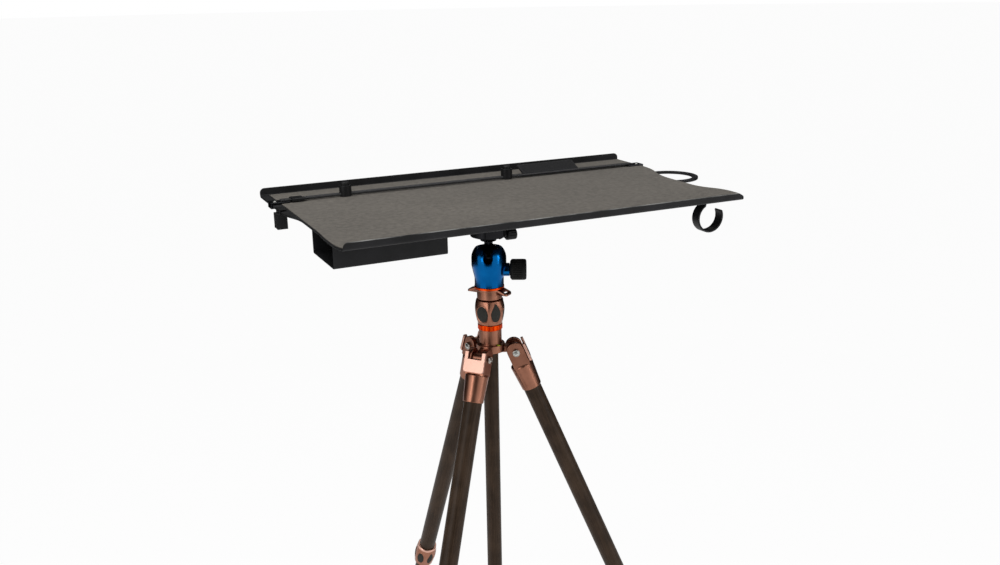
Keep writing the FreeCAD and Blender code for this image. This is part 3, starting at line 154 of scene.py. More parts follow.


# Powder coat, black, fine texture: the cured powder leaves soft 1 mm dimples and a dull gloss.
# The dimples are drawn 1.4 mm wide so that they show. Near an edge a painted highlight in a grey
# metal tone can be laid on the coat.
def powder_coated(name, highlight_top=None, highlight_front=None):
    """The coat; close under a height, and in front of a line, it takes a painted highlight in a
    grey metal tone.
    """
    material, tree, shader, place = new_material(
        name, {"IOR": 1.5, "Specular IOR Level": 0.2})
    dimples = add_node(tree, "ShaderNodeTexNoise", {}, {
        "Vector": place, "Scale": 1 / (1.4 * MM), "Detail": 2.0, "Roughness": 0.5})
    patches = add_node(tree, "ShaderNodeTexNoise", {}, {
        "Vector": place, "Scale": 1 / (45 * MM), "Detail": 4.0})
    spread = add_node(tree, "ShaderNodeMapRange", {}, {
        "Value": patches.outputs["Fac"], "From Min": 0.35, "From Max": 0.65})
    tone = add_node(tree, "ShaderNodeMix", {"data_type": "RGBA"}, {
        0: spread.outputs["Result"], 6: linear("#121213"), 7: linear("#1d1d1f")})
    colour = tone.outputs[2]
    gloss = add_node(tree, "ShaderNodeMapRange", {}, {
        "Value": dimples.outputs["Fac"], "To Min": 0.46, "To Max": 0.66})
    # Painted highlight: a grey metal tone laid in patches along the top of the front rim.
    if highlight_top is not None:
        spot = add_node(tree, "ShaderNodeSeparateXYZ", {}, {"Vector": place})
        near = add_node(tree, "ShaderNodeMapRange", {}, {
            "Value": spot.outputs["Z"], "From Min": highlight_top - 0.7 * MM,
            "From Max": highlight_top - 0.1 * MM})
        ahead = add_node(tree, "ShaderNodeMapRange", {}, {
            "Value": spot.outputs["Y"], "From Min": highlight_front + 1 * MM, "From Max": highlight_front})
        rim = add_node(tree, "ShaderNodeMath", {"operation": "MULTIPLY"}, {
            0: near.outputs["Result"], 1: ahead.outputs["Result"]})
        highlight_patches = add_node(tree, "ShaderNodeMath", {"operation": "MULTIPLY"}, {
            0: rim.outputs["Value"], 1: spread.outputs["Result"]})
        highlight_mix = add_node(tree, "ShaderNodeMix", {"data_type": "RGBA"}, {
            0: highlight_patches.outputs["Value"], 6: colour, 7: linear("#8d8d8b")})
        colour = highlight_mix.outputs[2]
    bumps = add_node(tree, "ShaderNodeBump", {}, {
        "Strength": 0.5, "Distance": 0.12 * MM, "Height": dimples.outputs["Fac"]})
    link(tree, colour, shader, "Base Color")
    link(tree, gloss.outputs["Result"], shader, "Roughness")
    link(tree, bumps.outputs["Normal"], shader, "Normal")
    return material


sheet_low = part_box("table_plate")[0]
skin_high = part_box("top_wrap")[1]
powder_coat = powder_coated("powder_coat_black")
front_rim_rise = 6.9 * MM
front_rim_depth = 3.5 * MM
# The front rim's top carries a painted highlight in a grey metal tone.
highlit_coat = powder_coated("powder_coat_black_painted_highlight", skin_high.z + front_rim_rise,
                          sheet_low.y + front_rim_depth)
from_solid("table_plate", 0.5, highlit_coat)

# Non-slip skin: a 0.8 mm sheet of foamed rubber glued on the flat of the table. It is warm grey,
# faintly mottled, with a fine pebbled grain that hides scuffs and keeps things from sliding.
skin_rubber, tree, shader, place = new_material(
    "foamed_rubber_grey", {"Metallic": 0.0, "Specular IOR Level": 0.2, "Sheen Weight": 0.06,
                           "Sheen Roughness": 0.5})
pebbles = add_node(tree, "ShaderNodeTexVoronoi", {"feature": "SMOOTH_F1"}, {
    "Vector": place, "Scale": 1 / (1.8 * MM), "Smoothness": 0.6})
mottle = add_node(tree, "ShaderNodeTexNoise", {}, {
    "Vector": place, "Scale": 1 / (7 * MM), "Detail": 5.0, "Roughness": 0.62})
clouds = add_node(tree, "ShaderNodeTexNoise", {}, {
    "Vector": place, "Scale": 1 / (120 * MM), "Detail": 2.0})
blend = add_node(tree, "ShaderNodeMapRange", {}, {
    "Value": mottle.outputs["Fac"], "From Min": 0.33, "From Max": 0.67})
grain = add_node(tree, "ShaderNodeMix", {"data_type": "RGBA"}, {
    0: blend.outputs["Result"], 6: linear("#524e48"), 7: linear("#67625b")})
shade = add_node(tree, "ShaderNodeMapRange", {}, {
    "Value": clouds.outputs["Fac"], "To Min": 0.82, "To Max": 1.16})
grey = add_node(tree, "ShaderNodeHueSaturation", {}, {
    "Value": shade.outputs["Result"], "Color": grain.outputs[2]})
rough = add_node(tree, "ShaderNodeMapRange", {}, {
    "Value": mottle.outputs["Fac"], "To Min": 0.72, "To Max": 0.95})
bumps = add_node(tree, "ShaderNodeBump", {}, {
    "Strength": 0.6, "Distance": 0.15 * MM, "Height": pebbles.outputs["Distance"]})
link(tree, grey.outputs["Color"], shader, "Base Color")
link(tree, rough.outputs["Result"], shader, "Roughness")
link(tree, bumps.outputs["Normal"], shader, "Normal")

from_solid("top_wrap", 0.25, skin_rubber)

# Mounting block: a milled aluminium bar under the middle of the sheet, black anodised, with a
# threaded hole for the tripod screw and one for an accessory at each side.


def mottled(name, values, size, detail, colours, gloss=None,
            grain_size=None, grain_detail=2, grain_strength=0.3, grain_depth=0.05):
    """A finish whose colour and gloss wander over patches of a size in mm, grained or smooth."""
    material, tree, shader, place = new_material(name, values)
    patches = add_node(tree, "ShaderNodeTexNoise", {}, {
        "Vector": place, "Scale": 1 / (size * MM), "Detail": detail})
    tone = add_node(tree, "ShaderNodeMix", {"data_type": "RGBA"}, {
        0: patches.outputs["Fac"], 6: linear(colours[0]), 7: linear(colours[1])})
    link(tree, tone.outputs[2], shader, "Base Color")
    if gloss:
        rough = add_node(tree, "ShaderNodeMapRange", {}, {
            "Value": patches.outputs["Fac"], "To Min": gloss[0], "To Max": gloss[1]})
        link(tree, rough.outputs["Result"], shader, "Roughness")
    if grain_size:
        grain = add_node(tree, "ShaderNodeTexNoise", {}, {
            "Vector": place, "Scale": 1 / (grain_size * MM), "Detail": grain_detail})
        bumps = add_node(tree, "ShaderNodeBump", {}, {
            "Strength": grain_strength, "Distance": grain_depth * MM,
            "Height": grain.outputs["Fac"]})
        link(tree, bumps.outputs["Normal"], shader, "Normal")
    return material


# Black anodising: a glassy dyed oxide on blasted metal, satin, with a faint cool sheen.
black_anodised = mottled(
    "anodised_aluminium_black", {"Metallic": 1.0}, size=14, detail=4,
    colours=("#19191a", "#262628"), gloss=(0.3, 0.46),
    grain_size=0.7, grain_detail=2, grain_strength=0.25, grain_depth=0.04)
from_solid("mounting_block", 0.8, black_anodised)

# Screws under the table: eight M4 socket screws, four up through the block and four through the
# drive tray's flanges, of black oxide steel with an oily half gloss.
black_steel = mottled(
    "black_oxide_steel", {"Metallic": 1.0}, size=2.5, detail=4,
    colours=("#1e1f21", "#45464a"), gloss=(0.22, 0.42))


def rounded(corners, closed=True, steps=5):
    """The points of an outline; a corner with a third value is rounded to that radius."""
    outline = []
    last = len(corners) - 1
    for index, corner in enumerate(corners):
        here = Vector(corner[:2])
        if len(corner) < 3 or (not closed and index in (0, last)):
            outline.append(here)
            continue
        before = Vector(corners[index - 1][:2]) - here
        after = Vector(corners[(index + 1) % (last + 1)][:2]) - here
        half = before.angle(after) / 2
        reach = min(corner[2] / math.tan(half), before.length * 0.49, after.length * 0.49)
        radius = reach * math.tan(half)
        middle = before.normalized() + after.normalized()
        centre = here + middle.normalized() * (radius / math.sin(half))
        start = here + before.normalized() * reach - centre
        end = here + after.normalized() * reach - centre
        for step in range(steps + 1):
            part = start.lerp(end, step / steps)
            outline.append(centre + part.normalized() * radius)
    return outline


def turned(name, outline, materials, steps=64, closed=False, rule=None, place=Matrix()):
    """Spins (radius, height) points in millimetres round Z; a rule may vary the radius."""
    bm = bmesh.new()
    rings = []
    for radius, height in outline:
        count = 1 if radius < 0.001 else steps
        ring = []
        for step in range(count):
            angle = 2 * math.pi * step / count
            reach = rule(radius, height, angle) if rule and count > 1 else radius
            spot = Vector((reach * math.cos(angle), reach * math.sin(angle), height)) * MM
            ring.append(bm.verts.new(place @ spot))
        rings.append(ring)
    pairs = list(zip(rings, rings[1:]))
    if closed:
        pairs.append((rings[-1], rings[0]))
    for low, high in pairs:
        for step in range(steps):
            corners = [low[step % len(low)], low[(step + 1) % len(low)],
                       high[(step + 1) % len(high)], high[step % len(high)]]
            corners = list(dict.fromkeys(corners))
            if len(corners) > 2:
                bm.faces.new(corners)
    bmesh.ops.recalc_face_normals(bm, faces=bm.faces)
    return mesh_piece(name, bm, *materials)


def new_tree(name, sizes):
    """A geometry tree with a mesh in and out, and one named input for each size."""
    made = bpy.data.node_groups.new(name, "GeometryNodeTree")
    made.interface.new_socket("Geometry", in_out="INPUT", socket_type="NodeSocketGeometry")
    for label, kind in sizes.items():
        made.interface.new_socket(label, in_out="INPUT", socket_type="NodeSocket" + kind)
    made.interface.new_socket("Material", in_out="INPUT", socket_type="NodeSocketMaterial")
    made.interface.new_socket("Geometry", in_out="OUTPUT", socket_type="NodeSocketGeometry")
    return made, made.nodes.new("NodeGroupInput").outputs


def end_tree(made, instances, material):
    """Realises the instances, gives them their material and hands the mesh out."""
    real = add_node(made, "GeometryNodeRealizeInstances", {}, {"Geometry": instances})
    coated = add_node(made, "GeometryNodeSetMaterial", {}, {
        "Geometry": real.outputs["Geometry"], "Material": material})
    add_node(made, "NodeGroupOutput", {}, {"Geometry": coated.outputs["Geometry"]})


def grow(piece, made, sizes):
    """Runs a geometry tree on a piece with these sizes and keeps the plain mesh."""
    modifier = piece.modifiers.new(made.name, "NODES")
    modifier.node_group = made
    for socket in made.interface.items_tree:
        if socket.in_out == "INPUT" and socket.name in sizes:
            modifier[socket.identifier] = sizes[socket.name]
    return settle(piece)


# Sets one screw at each corner of a rectangle.
screw_grid, given = new_tree("screw_grid", {
    "Spread X": "Float", "Spread Y": "Float", "Centre": "Vector"})
corners = add_node(screw_grid, "GeometryNodeMeshGrid", {}, {
    "Size X": given["Spread X"], "Size Y": given["Spread Y"], "Vertices X": 2, "Vertices Y": 2})
moved = add_node(screw_grid, "GeometryNodeTransform", {}, {
    "Geometry": corners.outputs["Mesh"], "Translation": given["Centre"]})
placed = add_node(screw_grid, "GeometryNodeInstanceOnPoints", {}, {
    "Points": moved.outputs["Geometry"], "Instance": given["Geometry"]})
end_tree(screw_grid, placed.outputs["Instances"], given["Material"])


def hexagon(flats):
    """The rule that pulls a ring in to a hexagon of that width across its flats."""
    def reach(radius, height, angle):
        turn = angle % (math.pi / 3) - math.pi / 6
        return flats / 2 / math.cos(turn) if radius < flats * 0.6 else radius
    return reach


def socket_screw(name, head, head_height, shaft, length, material):
    """A screw seen from below: its head hangs under the origin and its shaft stands above."""
    flats = head * 0.9
    outline = rounded([
        (0, -head_height * 0.35), (flats / 2, -head_height * 0.35), (flats / 2, -head_height),
        (head, -head_height, 0.5), (head, 0), (shaft, 0), (shaft, length - 0.6),
        (shaft - 0.6, length), (0, length),
    ], closed=False, steps=3)
    return turned(name, outline, [material], steps=36, rule=hexagon(flats))


screws_low, screws_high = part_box("underside_screws")
block_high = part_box("mounting_block")[1]
tray_low, tray_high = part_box("drive_compartment")
column_low, column_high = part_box("column_tube")
axis_x = (column_low.x + column_high.x) / 2
axis_y = (column_low.y + column_high.y) / 2
tray_middle = (tray_low + tray_high) / 2
sheet_bottom = block_high.z
screw_head_height = 2.4
tray_thickness = 1.5
for name, middle_x, middle_y, seat, spread_x, spread_y in (
        ("block_screws", axis_x, axis_y, screws_low.z + screw_head_height * MM, 84, 60),
        ("tray_screws", tray_middle.x, tray_middle.y, sheet_bottom - tray_thickness * MM,
         110, 105)):
    screws = socket_screw(name, 3.6, screw_head_height, 2.0,
                          (screws_high.z - seat) / MM, black_steel)
    grow(screws, screw_grid, {
        "Spread X": spread_x * MM, "Spread Y": spread_y * MM,
        "Centre": (middle_x, middle_y, seat), "Material": black_steel})
    fit(screws, "underside_screws", shows=name == "block_screws")

# Drive tray: 1.5 mm steel sheet folded to a trough with two flanges and one closed end, powder
# coated like the table, open at the left.
from_solid("drive_compartment", 0.3, powder_coat)

# Cup holder's spacer: a turned aluminium post, black anodised, screwed up against the sheet's
# underside at the right.
from_solid("cup_holder_bracket", 0.5, black_anodised)

# Cup holder: a flat ring on a flat arm, cut from 4 mm aluminium and powder coated, that swings
# on the spacer.
from_solid("cup_holder", 0.7, powder_coat)

# Cable hook: an open ring moulded in one with its strap and eye, of black nylon, with a small
# bead round its tip.
# Moulded nylon: matt black with the spark-eroded grain of its mould and a slight waxy gloss.
moulded_nylon = mottled(
    "moulded_nylon_black", {"Metallic": 0.0, "IOR": 1.53, "Specular IOR Level": 0.2},
    size=20, detail=2, colours=("#0f0f10", "#1a1a1b"), gloss=(0.38, 0.55),
    grain_size=0.9, grain_detail=3, grain_strength=0.4, grain_depth=0.06)
from_solid("cable_hook", 0.9, moulded_nylon)

# Pivot screws of the cup holder and the hook: low steel heads, zinc plated, with a hexagon socket.
# Zinc plate: bright and slightly blue, with fine turning marks.
zinc_plate = mottled(
    "zinc_plated_steel", {"Metallic": 1.0}, size=3, detail=4,
    colours=("#a9a9a6", "#d4d4ce"), gloss=(0.14, 0.32))
pivot_low, pivot_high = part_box("pivot_screws")
hook_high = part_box("cable_hook")[1]
bracket_low, bracket_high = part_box("cup_holder_bracket")
bracket_middle = (bracket_low + bracket_high) / 2
pivot_head = 7.0
pivot_head_height = 2.6
hook_eye_thickness = 3.3
for name, eye_x, eye_y, seat in (
        ("cup_holder_screw", bracket_middle.x, bracket_middle.y,
         pivot_low.z + pivot_head_height * MM),
        ("hook_screw", pivot_high.x - pivot_head * MM, pivot_low.y + pivot_head * MM,
         hook_high.z - hook_eye_thickness * MM)):
    screw = socket_screw(name, pivot_head, pivot_head_height, 3.0,
                         (pivot_high.z - seat) / MM, zinc_plate)
    screw.data.transform(Matrix.Translation((eye_x, eye_y, seat)))
    fit(screw, "pivot_screws", shows=name == "cup_holder_screw")

# Cable clip: a ribbed block of moulded nylon with a C on top that snaps over the left edge of
# the sheet.
from_solid("cable_clip", 0.5, moulded_nylon)

# Edge hooks of the strap: bent steel plates, blackened, one round each edge of the sheet; the
# strap's pull keeps them there.
for side in ("left", "right"):
    from_solid(f"strap_hook_{side}", 0.4, black_steel)

# Webbing: 14 mm nylon tape, woven black, sewn back on itself at both ends; at the right it
# carries a wide sleeve of the same cloth that leans back from it.
# Woven nylon: ribs across the tape every 1.6 mm; the weave is drawn in the colour, lighter on each
# float as a slight painted sheen.
nylon_tape, tree, shader, place = new_material(
    "woven_nylon_black", {"Metallic": 0.0, "Specular IOR Level": 0.12, "Sheen Weight": 0.1,
                          "Sheen Roughness": 0.4})
ribs = add_node(tree, "ShaderNodeTexWave", {"bands_direction": "X"}, {
    "Vector": place, "Scale": 1 / (1.6 * MM) / 3.2, "Distortion": 0.4, "Detail": 1.0})
floats = add_node(tree, "ShaderNodeTexWave", {"bands_direction": "Y"}, {
    "Vector": place, "Scale": 1 / (1.1 * MM) / 3.2, "Distortion": 0.3})
weave = add_node(tree, "ShaderNodeMath", {"operation": "MULTIPLY"}, {
    0: ribs.outputs["Fac"], 1: floats.outputs["Fac"]})
# Lighter where ribs and floats rise: painted sheen on each float.
tone = add_node(tree, "ShaderNodeMix", {"data_type": "RGBA"}, {
    0: weave.outputs["Value"], 6: linear("#0e0e0f"), 7: linear("#29292b")})
bumps = add_node(tree, "ShaderNodeBump", {}, {
    "Strength": 0.7, "Distance": 0.2 * MM, "Height": weave.outputs["Value"]})
shader.inputs["Roughness"].default_value = 0.75
link(tree, tone.outputs[2], shader, "Base Color")
link(tree, bumps.outputs["Normal"], shader, "Normal")

from_solid("webbing_left", 0.4, nylon_tape)
from_solid("webbing_right", 0.5, nylon_tape)

# Tri-glide buckle: a flat frame of moulded nylon with a bar, which joins the left tape to the
# cords and sets its length.
from_solid("tri_glide_buckle", 0.5, moulded_nylon)

# Stitches of black polyester thread, 3 mm apart, hold the sleeve's hem and the tapes' folded ends.
thread = mottled(
    "polyester_thread_black", {"Roughness": 0.6, "Specular IOR Level": 0.25},
    size=0.5, detail=2, colours=("#1d1d1e", "#4a4a4c"))

stitch_row, given = new_tree("stitch_row", {
    "Count": "Int", "Start": "Vector", "Step": "Vector"})
seam = add_node(stitch_row, "GeometryNodeMeshLine", {}, {
    "Count": given["Count"], "Start Location": given["Start"], "Offset": given["Step"]})
sewn = add_node(stitch_row, "GeometryNodeInstanceOnPoints", {}, {
    "Points": seam.outputs["Mesh"], "Instance": given["Geometry"]})
end_tree(stitch_row, sewn.outputs["Instances"], given["Material"])


def stitches(name, node, count, start, step, place):
    """A row of stitches, in millimetres in a place; each lies along the row."""
    bm = bmesh.new()
    along = Vector(step).normalized()
    across = Vector((-along.y, along.x, 0))
    for reach, width, up in ((-1.1, 0.12, -0.15), (-0.6, 0.3, 0.22), (0.6, 0.3, 0.22),
                             (1.1, 0.12, -0.15)):
        for side, rise in ((-1, -0.2), (-0.7, up), (0.7, up), (1, -0.2)):
            bm.verts.new((along * reach + across * side * width + Vector((0, 0, rise))) * MM)
    bm.verts.ensure_lookup_table()
    for row in range(3):
        for column in range(3):
            low = row * 4 + column
            bm.faces.new([bm.verts[low], bm.verts[low + 4], bm.verts[low + 5], bm.verts[low + 1]])
    bmesh.ops.recalc_face_normals(bm, faces=bm.faces)
    row = mesh_piece(name, bm, thread)
    grow(row, stitch_row, {
        "Count": count, "Start": Vector(start) * MM, "Step": Vector(step) * MM,
        "Material": thread})
    row.data.transform(place)
    return fit(row, node, shows=False)


right_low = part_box("webbing_right")[0]
sleeve_lean = math.radians(25)
sleeve_corner = right_low + Vector((14, 10.5, 1.087)) * MM
sleeve_place = Matrix.Translation(sleeve_corner) @ Matrix.Rotation(sleeve_lean, 4, "X")
hem_pitch = 3.03
tape_pitch = 2.7
tape_top = right_low.z + 1.987 * MM
for number, (start, step, count) in enumerate((
        ((2.5, 2.4, 1.2), (hem_pitch, 0, 0), 33), ((2.5, 23.6, 1.2), (hem_pitch, 0, 0), 33),
        ((2.4, 4.9, 1.2), (0, hem_pitch, 0), 6), ((99.6, 4.9, 1.2), (0, hem_pitch, 0), 6))):
    stitches(f"sleeve_stitches_{number + 1}", "webbing_right", count, start, step, sleeve_place)
left_low, left_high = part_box("webbing_left")
for side, corner, ends in (
        ("left", (left_low.x, left_low.y, left_high.z), (2.5, 6.0, 31.5, 35.0)),
        ("right", (right_low.x, right_low.y, tape_top), (3.0, 6.5, 211.0, 214.5))):
    for number, along in enumerate(ends):
        stitches(f"tape_stitches_{side}_{number + 1}", f"webbing_{side}", 5,
                 (along, 1.6, 0), (0, tape_pitch, 0), Matrix.Translation(corner))

# Eyelets of the edge hooks: nickel rings pressed into the black plates.
eyelet_inset = 8.0 * MM
for side in ("left", "right"):
    edge_low, edge_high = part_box(f"strap_hook_{side}")
    hole_x = edge_low.x + eyelet_inset if side == "left" else edge_high.x - eyelet_inset
    eyelet = turned(f"eyelet_{side}", rounded([
        (1.7, -0.3), (3.2, -0.3), (3.2, 0.45, 0.3), (2.4, 0.6, 0.3), (1.7, 0.3, 0.2),
    ], steps=3), [zinc_plate], steps=32, closed=True, place=Matrix.Translation(
        (hole_x, (edge_low.y + edge_high.y) / 2, edge_high.z)))
    fit(eyelet, f"strap_hook_{side}", shows=False)

# Elastic cords: two 4 mm rubber cords in a braided sleeve, stretched between the tapes.
braid, tree, shader, place = new_material(
    "braided_polyester_black", {"Metallic": 0.0, "Roughness": 0.7, "Specular IOR Level": 0.3,
                                "Sheen Weight": 0.2})
turns = add_node(tree, "ShaderNodeTexVoronoi", {"distance": "MANHATTAN"}, {
    "Vector": place, "Scale": 1 / (1.3 * MM)})
# Painted shade: the braid's colour darkens into the grooves between its turns.
tone = add_node(tree, "ShaderNodeMix", {"data_type": "RGBA"}, {
    0: turns.outputs["Distance"], 6: linear("#3a3a3c"), 7: linear("#0f0f10")})
bumps = add_node(tree, "ShaderNodeBump", {"invert": True}, {
    "Strength": 0.8, "Distance": 0.2 * MM, "Height": turns.outputs["Distance"]})
link(tree, tone.outputs[2], shader, "Base Color")
link(tree, bumps.outputs["Normal"], shader, "Normal")

cord_low, cord_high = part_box("elastic_cord")
cord_radius = (cord_high.z - cord_low.z) / 2
cord_height = (cord_high.z + cord_low.z) / 2
cord_length = cord_high.x - cord_low.x
for name, cord_y in (("elastic_cord_front", cord_low.y + cord_radius),
                     ("elastic_cord_back", cord_high.y - cord_radius)):
    line = bpy.data.curves.new(name, "CURVE")
    line.dimensions = "3D"
    line.bevel_depth = cord_radius
    line.bevel_resolution = 4
    line.use_fill_caps = True
    run = line.splines.new("NURBS")
    run.points.add(5)
    for number, point in enumerate(run.points):
        point.co = (cord_low.x + cord_length * number / 5, cord_y, cord_height, 1)
    run.use_endpoint_u = True
    run.order_u = 3
    line.materials.append(braid)
    cord = bpy.data.objects.new(name, line)
    bpy.context.scene.collection.objects.link(cord)
    fit(cord, "elastic_cord")

# Cord locks: moulded nylon barrels on both cords, each with a button on a spring that squeezes
# the cords in its cross hole.
for side in ("left", "right"):
    from_solid(f"cord_lock_{side}", 0.5, moulded_nylon)
    from_solid(f"cord_lock_{side}_button", 0.3, moulded_nylon)

# Quick-release plate: a milled aluminium dovetail, black anodised, screwed to the block.
from_solid("quick_release_plate", 0.4, black_anodised)

# Tripod screw of the plate: turned steel, zinc plated, its low round head let into the plate.
from_solid("plate_screw", 0.4, zinc_plate)

# Head clamp: milled aluminium, black anodised, turned round outside over a shallow dish. The
# dish is flattened here, because the real one is lower outside its neck.
head_clamp = from_solid("head_clamp", 0.5, black_anodised)
clamp_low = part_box("head_clamp")[0]
dish_height = 7 * MM
dish_neck = 7.5 * MM
dish_flattening = 0.45
for vertex in head_clamp.data.vertices:
    out = math.hypot(vertex.co.x - axis_x, vertex.co.y - axis_y)
    depth = clamp_low.z + dish_height - vertex.co.z
    if depth > 0 and out > dish_neck:
        vertex.co.z += depth * dish_flattening

# Clamp jaw: the sliding side of the dovetail, milled aluminium, black anodised.
from_solid("clamp_jaw", 0.5, black_anodised)


joint_of = {joint["name"]: joint for joint in record["behaviour"]["joints"]}


def along_joint(name):
    """The place of a joint's pin, with Z along it."""
    joint = joint_of[name]
    turn = Vector(joint["axis"]).to_track_quat("Z", "Y").to_matrix().to_4x4()
    return Matrix.Translation(joint["pos_m"]) @ turn


def reach_along(node, place):
    """How far a node reaches along a place's Z, in millimetres."""
    back = place.inverted()
    heights = [(back @ vertex.co).z / MM for vertex in frame["nodes"][node].data.vertices]
    return min(heights), max(heights)


def flutes(count, depth, start, end, least, narrow=1.5):
    """The rule that cuts rounded grooves lengthwise between two heights, outside a radius."""
    def reach(radius, height, angle):
        if radius < least or not start < height < end:
            return radius
        return radius - depth * max(0.0, math.cos(count * angle)) ** narrow
    return reach


# Clamp knob: a small fluted nylon knob on the jaw's screw, with a flat recessed face.
knob_place = along_joint("clamp_knob_turn")
knob_low, knob_high = reach_along("clamp_knob", knob_place)
knob_radius = 8.5
clamp_knob = turned("clamp_knob_fluted", rounded([
    (0, knob_low), (3, knob_low), (3, 0.3), (5, 0.3), (5, 2.3), (8.2, 2.9, 0.6),
    (knob_radius, 4.5), (knob_radius, 5.2), (knob_radius, 10), (knob_radius, knob_high - 2.4),
    (knob_radius, knob_high, 1.8), (6.3, knob_high, 0.3), (5.9, knob_high - 0.6, 0.3),
    (0, knob_high - 0.6),
], closed=False, steps=4), [moulded_nylon], steps=96,
    rule=flutes(12, 0.9, 5, knob_high - 2, 8.3), place=knob_place)
fit(clamp_knob, "clamp_knob")

# Ball: turned and polished aluminium, hard anodised black, so it has a deep gloss.
polished_black = mottled(
    "hard_anodised_black", {"Metallic": 1.0}, size=9, detail=4,
    colours=("#121213", "#232326"), gloss=(0.12, 0.3))
from_solid("ball", 0, polished_black)

# Ball stem: turned aluminium like the ball, screwed into it and into the clamp.
from_solid("ball_stem", 0.3, polished_black)

# Ball housing: turned from the bar, its drop notch and boss milled, then anodised a deep blue.
# Clear blue dye over bright metal: saturated, with cyan highlights where the light strikes.
blue_anodised = mottled(
    "anodised_aluminium_blue", {"Metallic": 1.0}, size=16, detail=3,
    colours=("#054d88", "#0b62a3"), gloss=(0.16, 0.26),
    grain_size=1.0, grain_detail=3, grain_strength=0.12, grain_depth=0.03)
from_solid("head_housing", 0.6, blue_anodised)

# Brake cup under the ball: natural nylon, unseen from outside.
natural_nylon = mottled(
    "moulded_nylon_natural", {"Metallic": 0.0, "Roughness": 0.5, "Subsurface Weight": 0.1,
                              "Subsurface Scale": 2 * MM},
    size=6, detail=3, colours=("#d9d6ca", "#e8e6dc"))
from_solid("ball_cup", 0.3, natural_nylon)

# Lock knob: a rubber-covered knob with fine lengthwise grooves.
grip_rubber = mottled(
    "moulded_rubber_black", {"Metallic": 0.0, "IOR": 1.5, "Specular IOR Level": 0.14},
    size=5, detail=5, colours=("#0e0e0e", "#1d1d1c"), gloss=(0.55, 0.8),
    grain_size=0.8, grain_detail=2, grain_strength=0.4, grain_depth=0.08)
knob_place = along_joint("lock_knob_turn")
knob_low, knob_high = reach_along("lock_knob", knob_place)
knob_radius = 15.9
lock_knob = turned("lock_knob_fluted", rounded([
    (0, knob_low), (4, knob_low), (4, 0.3), (9, 0.3, 0.4), (9, 0.9), (12.8, 0.9, 0.8),
    (knob_radius, 3.4, 2.2), (knob_radius, 5.2), (knob_radius, 6.0), (knob_radius, 13),
    (knob_radius, knob_high - 6.4), (knob_radius, knob_high - 5.8), (15.6, knob_high, 5.4),
    (9.5, knob_high, 0.5), (9.0, knob_high - 0.9, 0.4), (0, knob_high - 0.9),
], closed=False, steps=5), [grip_rubber], steps=300,
    rule=flutes(30, 1.0, 5.5, knob_high - 6.0, 15.6, narrow=3), place=knob_place)
fit(lock_knob, "lock_knob")

# Pan ring under the housing: turned aluminium, anodised orange, screwed up on the spindle that
# the housing pans on.
orange_anodised = mottled(
    "anodised_aluminium_orange", {"Metallic": 1.0}, size=5, detail=4,
    colours=("#d23807", "#f3560f"), gloss=(0.28, 0.42))
from_solid("pan_ring", 0.4, orange_anodised)

# Accessory plate: forged aluminium, blasted and anodised bronze, held under the head, with two
# strap loops that bend down at their outer ends.
# Bronze anodising: brown dye over a fine blast, satin, with copper-pink highlights.
bronze_anodised = mottled(
    "anodised_aluminium_bronze", {"Metallic": 1.0}, size=18, detail=4,
    colours=("#805543", "#ab7762"), gloss=(0.28, 0.42),
    grain_size=0.8, grain_detail=3, grain_strength=0.25, grain_depth=0.05)
loop_plate = from_solid("loop_plate", 0.6, bronze_anodised)
loops_start = 21 * MM
loops_slope = 0.42
for vertex in loop_plate.data.vertices:
    out = math.hypot(vertex.co.x - axis_x, vertex.co.y - axis_y)
    vertex.co.z -= max(0.0, out - loops_start) * loops_slope

# Top mount: turned aluminium, bronze anodised, glued on the column's upper end.
from_solid("top_mount", 0.6, bronze_anodised)

# Centre column: a tube of carbon fibre wound lengthwise under a satin brown lacquer, like the
# legs'. The fibres show as faint streaks along the tube, drawn 1 mm wide so that they show.
carbon_tube, tree, shader, place = new_material(
    "lacquered_carbon_brown", {"Metallic": 0.0, "IOR": 1.5, "Specular IOR Level": 0.12})
grain = add_node(tree, "ShaderNodeAttribute", {"attribute_name": "grain"})
drawn = add_node(tree, "ShaderNodeMapping", {}, {
    "Vector": grain.outputs["Vector"], "Scale": (1, 1, 0.03)})
fibres = add_node(tree, "ShaderNodeTexNoise", {}, {
    "Vector": drawn.outputs["Vector"], "Scale": 1 / (1.0 * MM), "Detail": 3.0})
bands = add_node(tree, "ShaderNodeTexNoise", {}, {
    "Vector": grain.outputs["Vector"], "Scale": 1 / (30 * MM), "Detail": 3.0})
streaks = add_node(tree, "ShaderNodeMath", {"operation": "ADD"}, {
    0: fibres.outputs["Fac"], 1: bands.outputs["Fac"]})
spread = add_node(tree, "ShaderNodeMapRange", {}, {
    "Value": streaks.outputs["Value"], "From Min": 0.75, "From Max": 1.25})
tone = add_node(tree, "ShaderNodeMix", {"data_type": "RGBA"}, {
    0: spread.outputs["Result"], 6: linear("#2b2017"), 7: linear("#423327")})
gloss = add_node(tree, "ShaderNodeMapRange", {}, {
    "Value": fibres.outputs["Fac"], "To Min": 0.34, "To Max": 0.5})
bumps = add_node(tree, "ShaderNodeBump", {}, {
    "Strength": 0.25, "Distance": 0.05 * MM, "Height": fibres.outputs["Fac"]})
link(tree, tone.outputs[2], shader, "Base Color")
link(tree, gloss.outputs["Result"], shader, "Roughness")
link(tree, bumps.outputs["Normal"], shader, "Normal")


def lay_grain(piece, place):
    """Keeps each point's place in the tube's own frame, for the streaks that run along it."""
    grain = piece.data.attributes.new("grain", "FLOAT_VECTOR", "POINT")
    back = place.inverted()
    for point, vertex in zip(grain.data, piece.data.vertices):
        point.vector = back @ vertex.co
    return piece


lay_grain(from_solid("column_tube", 0, carbon_tube), Matrix.Translation((axis_x, axis_y, 0)))

# Column cap: turned aluminium, bronze anodised, pushed into the column's lower end.
from_solid("column_cap", 0.6, bronze_anodised)

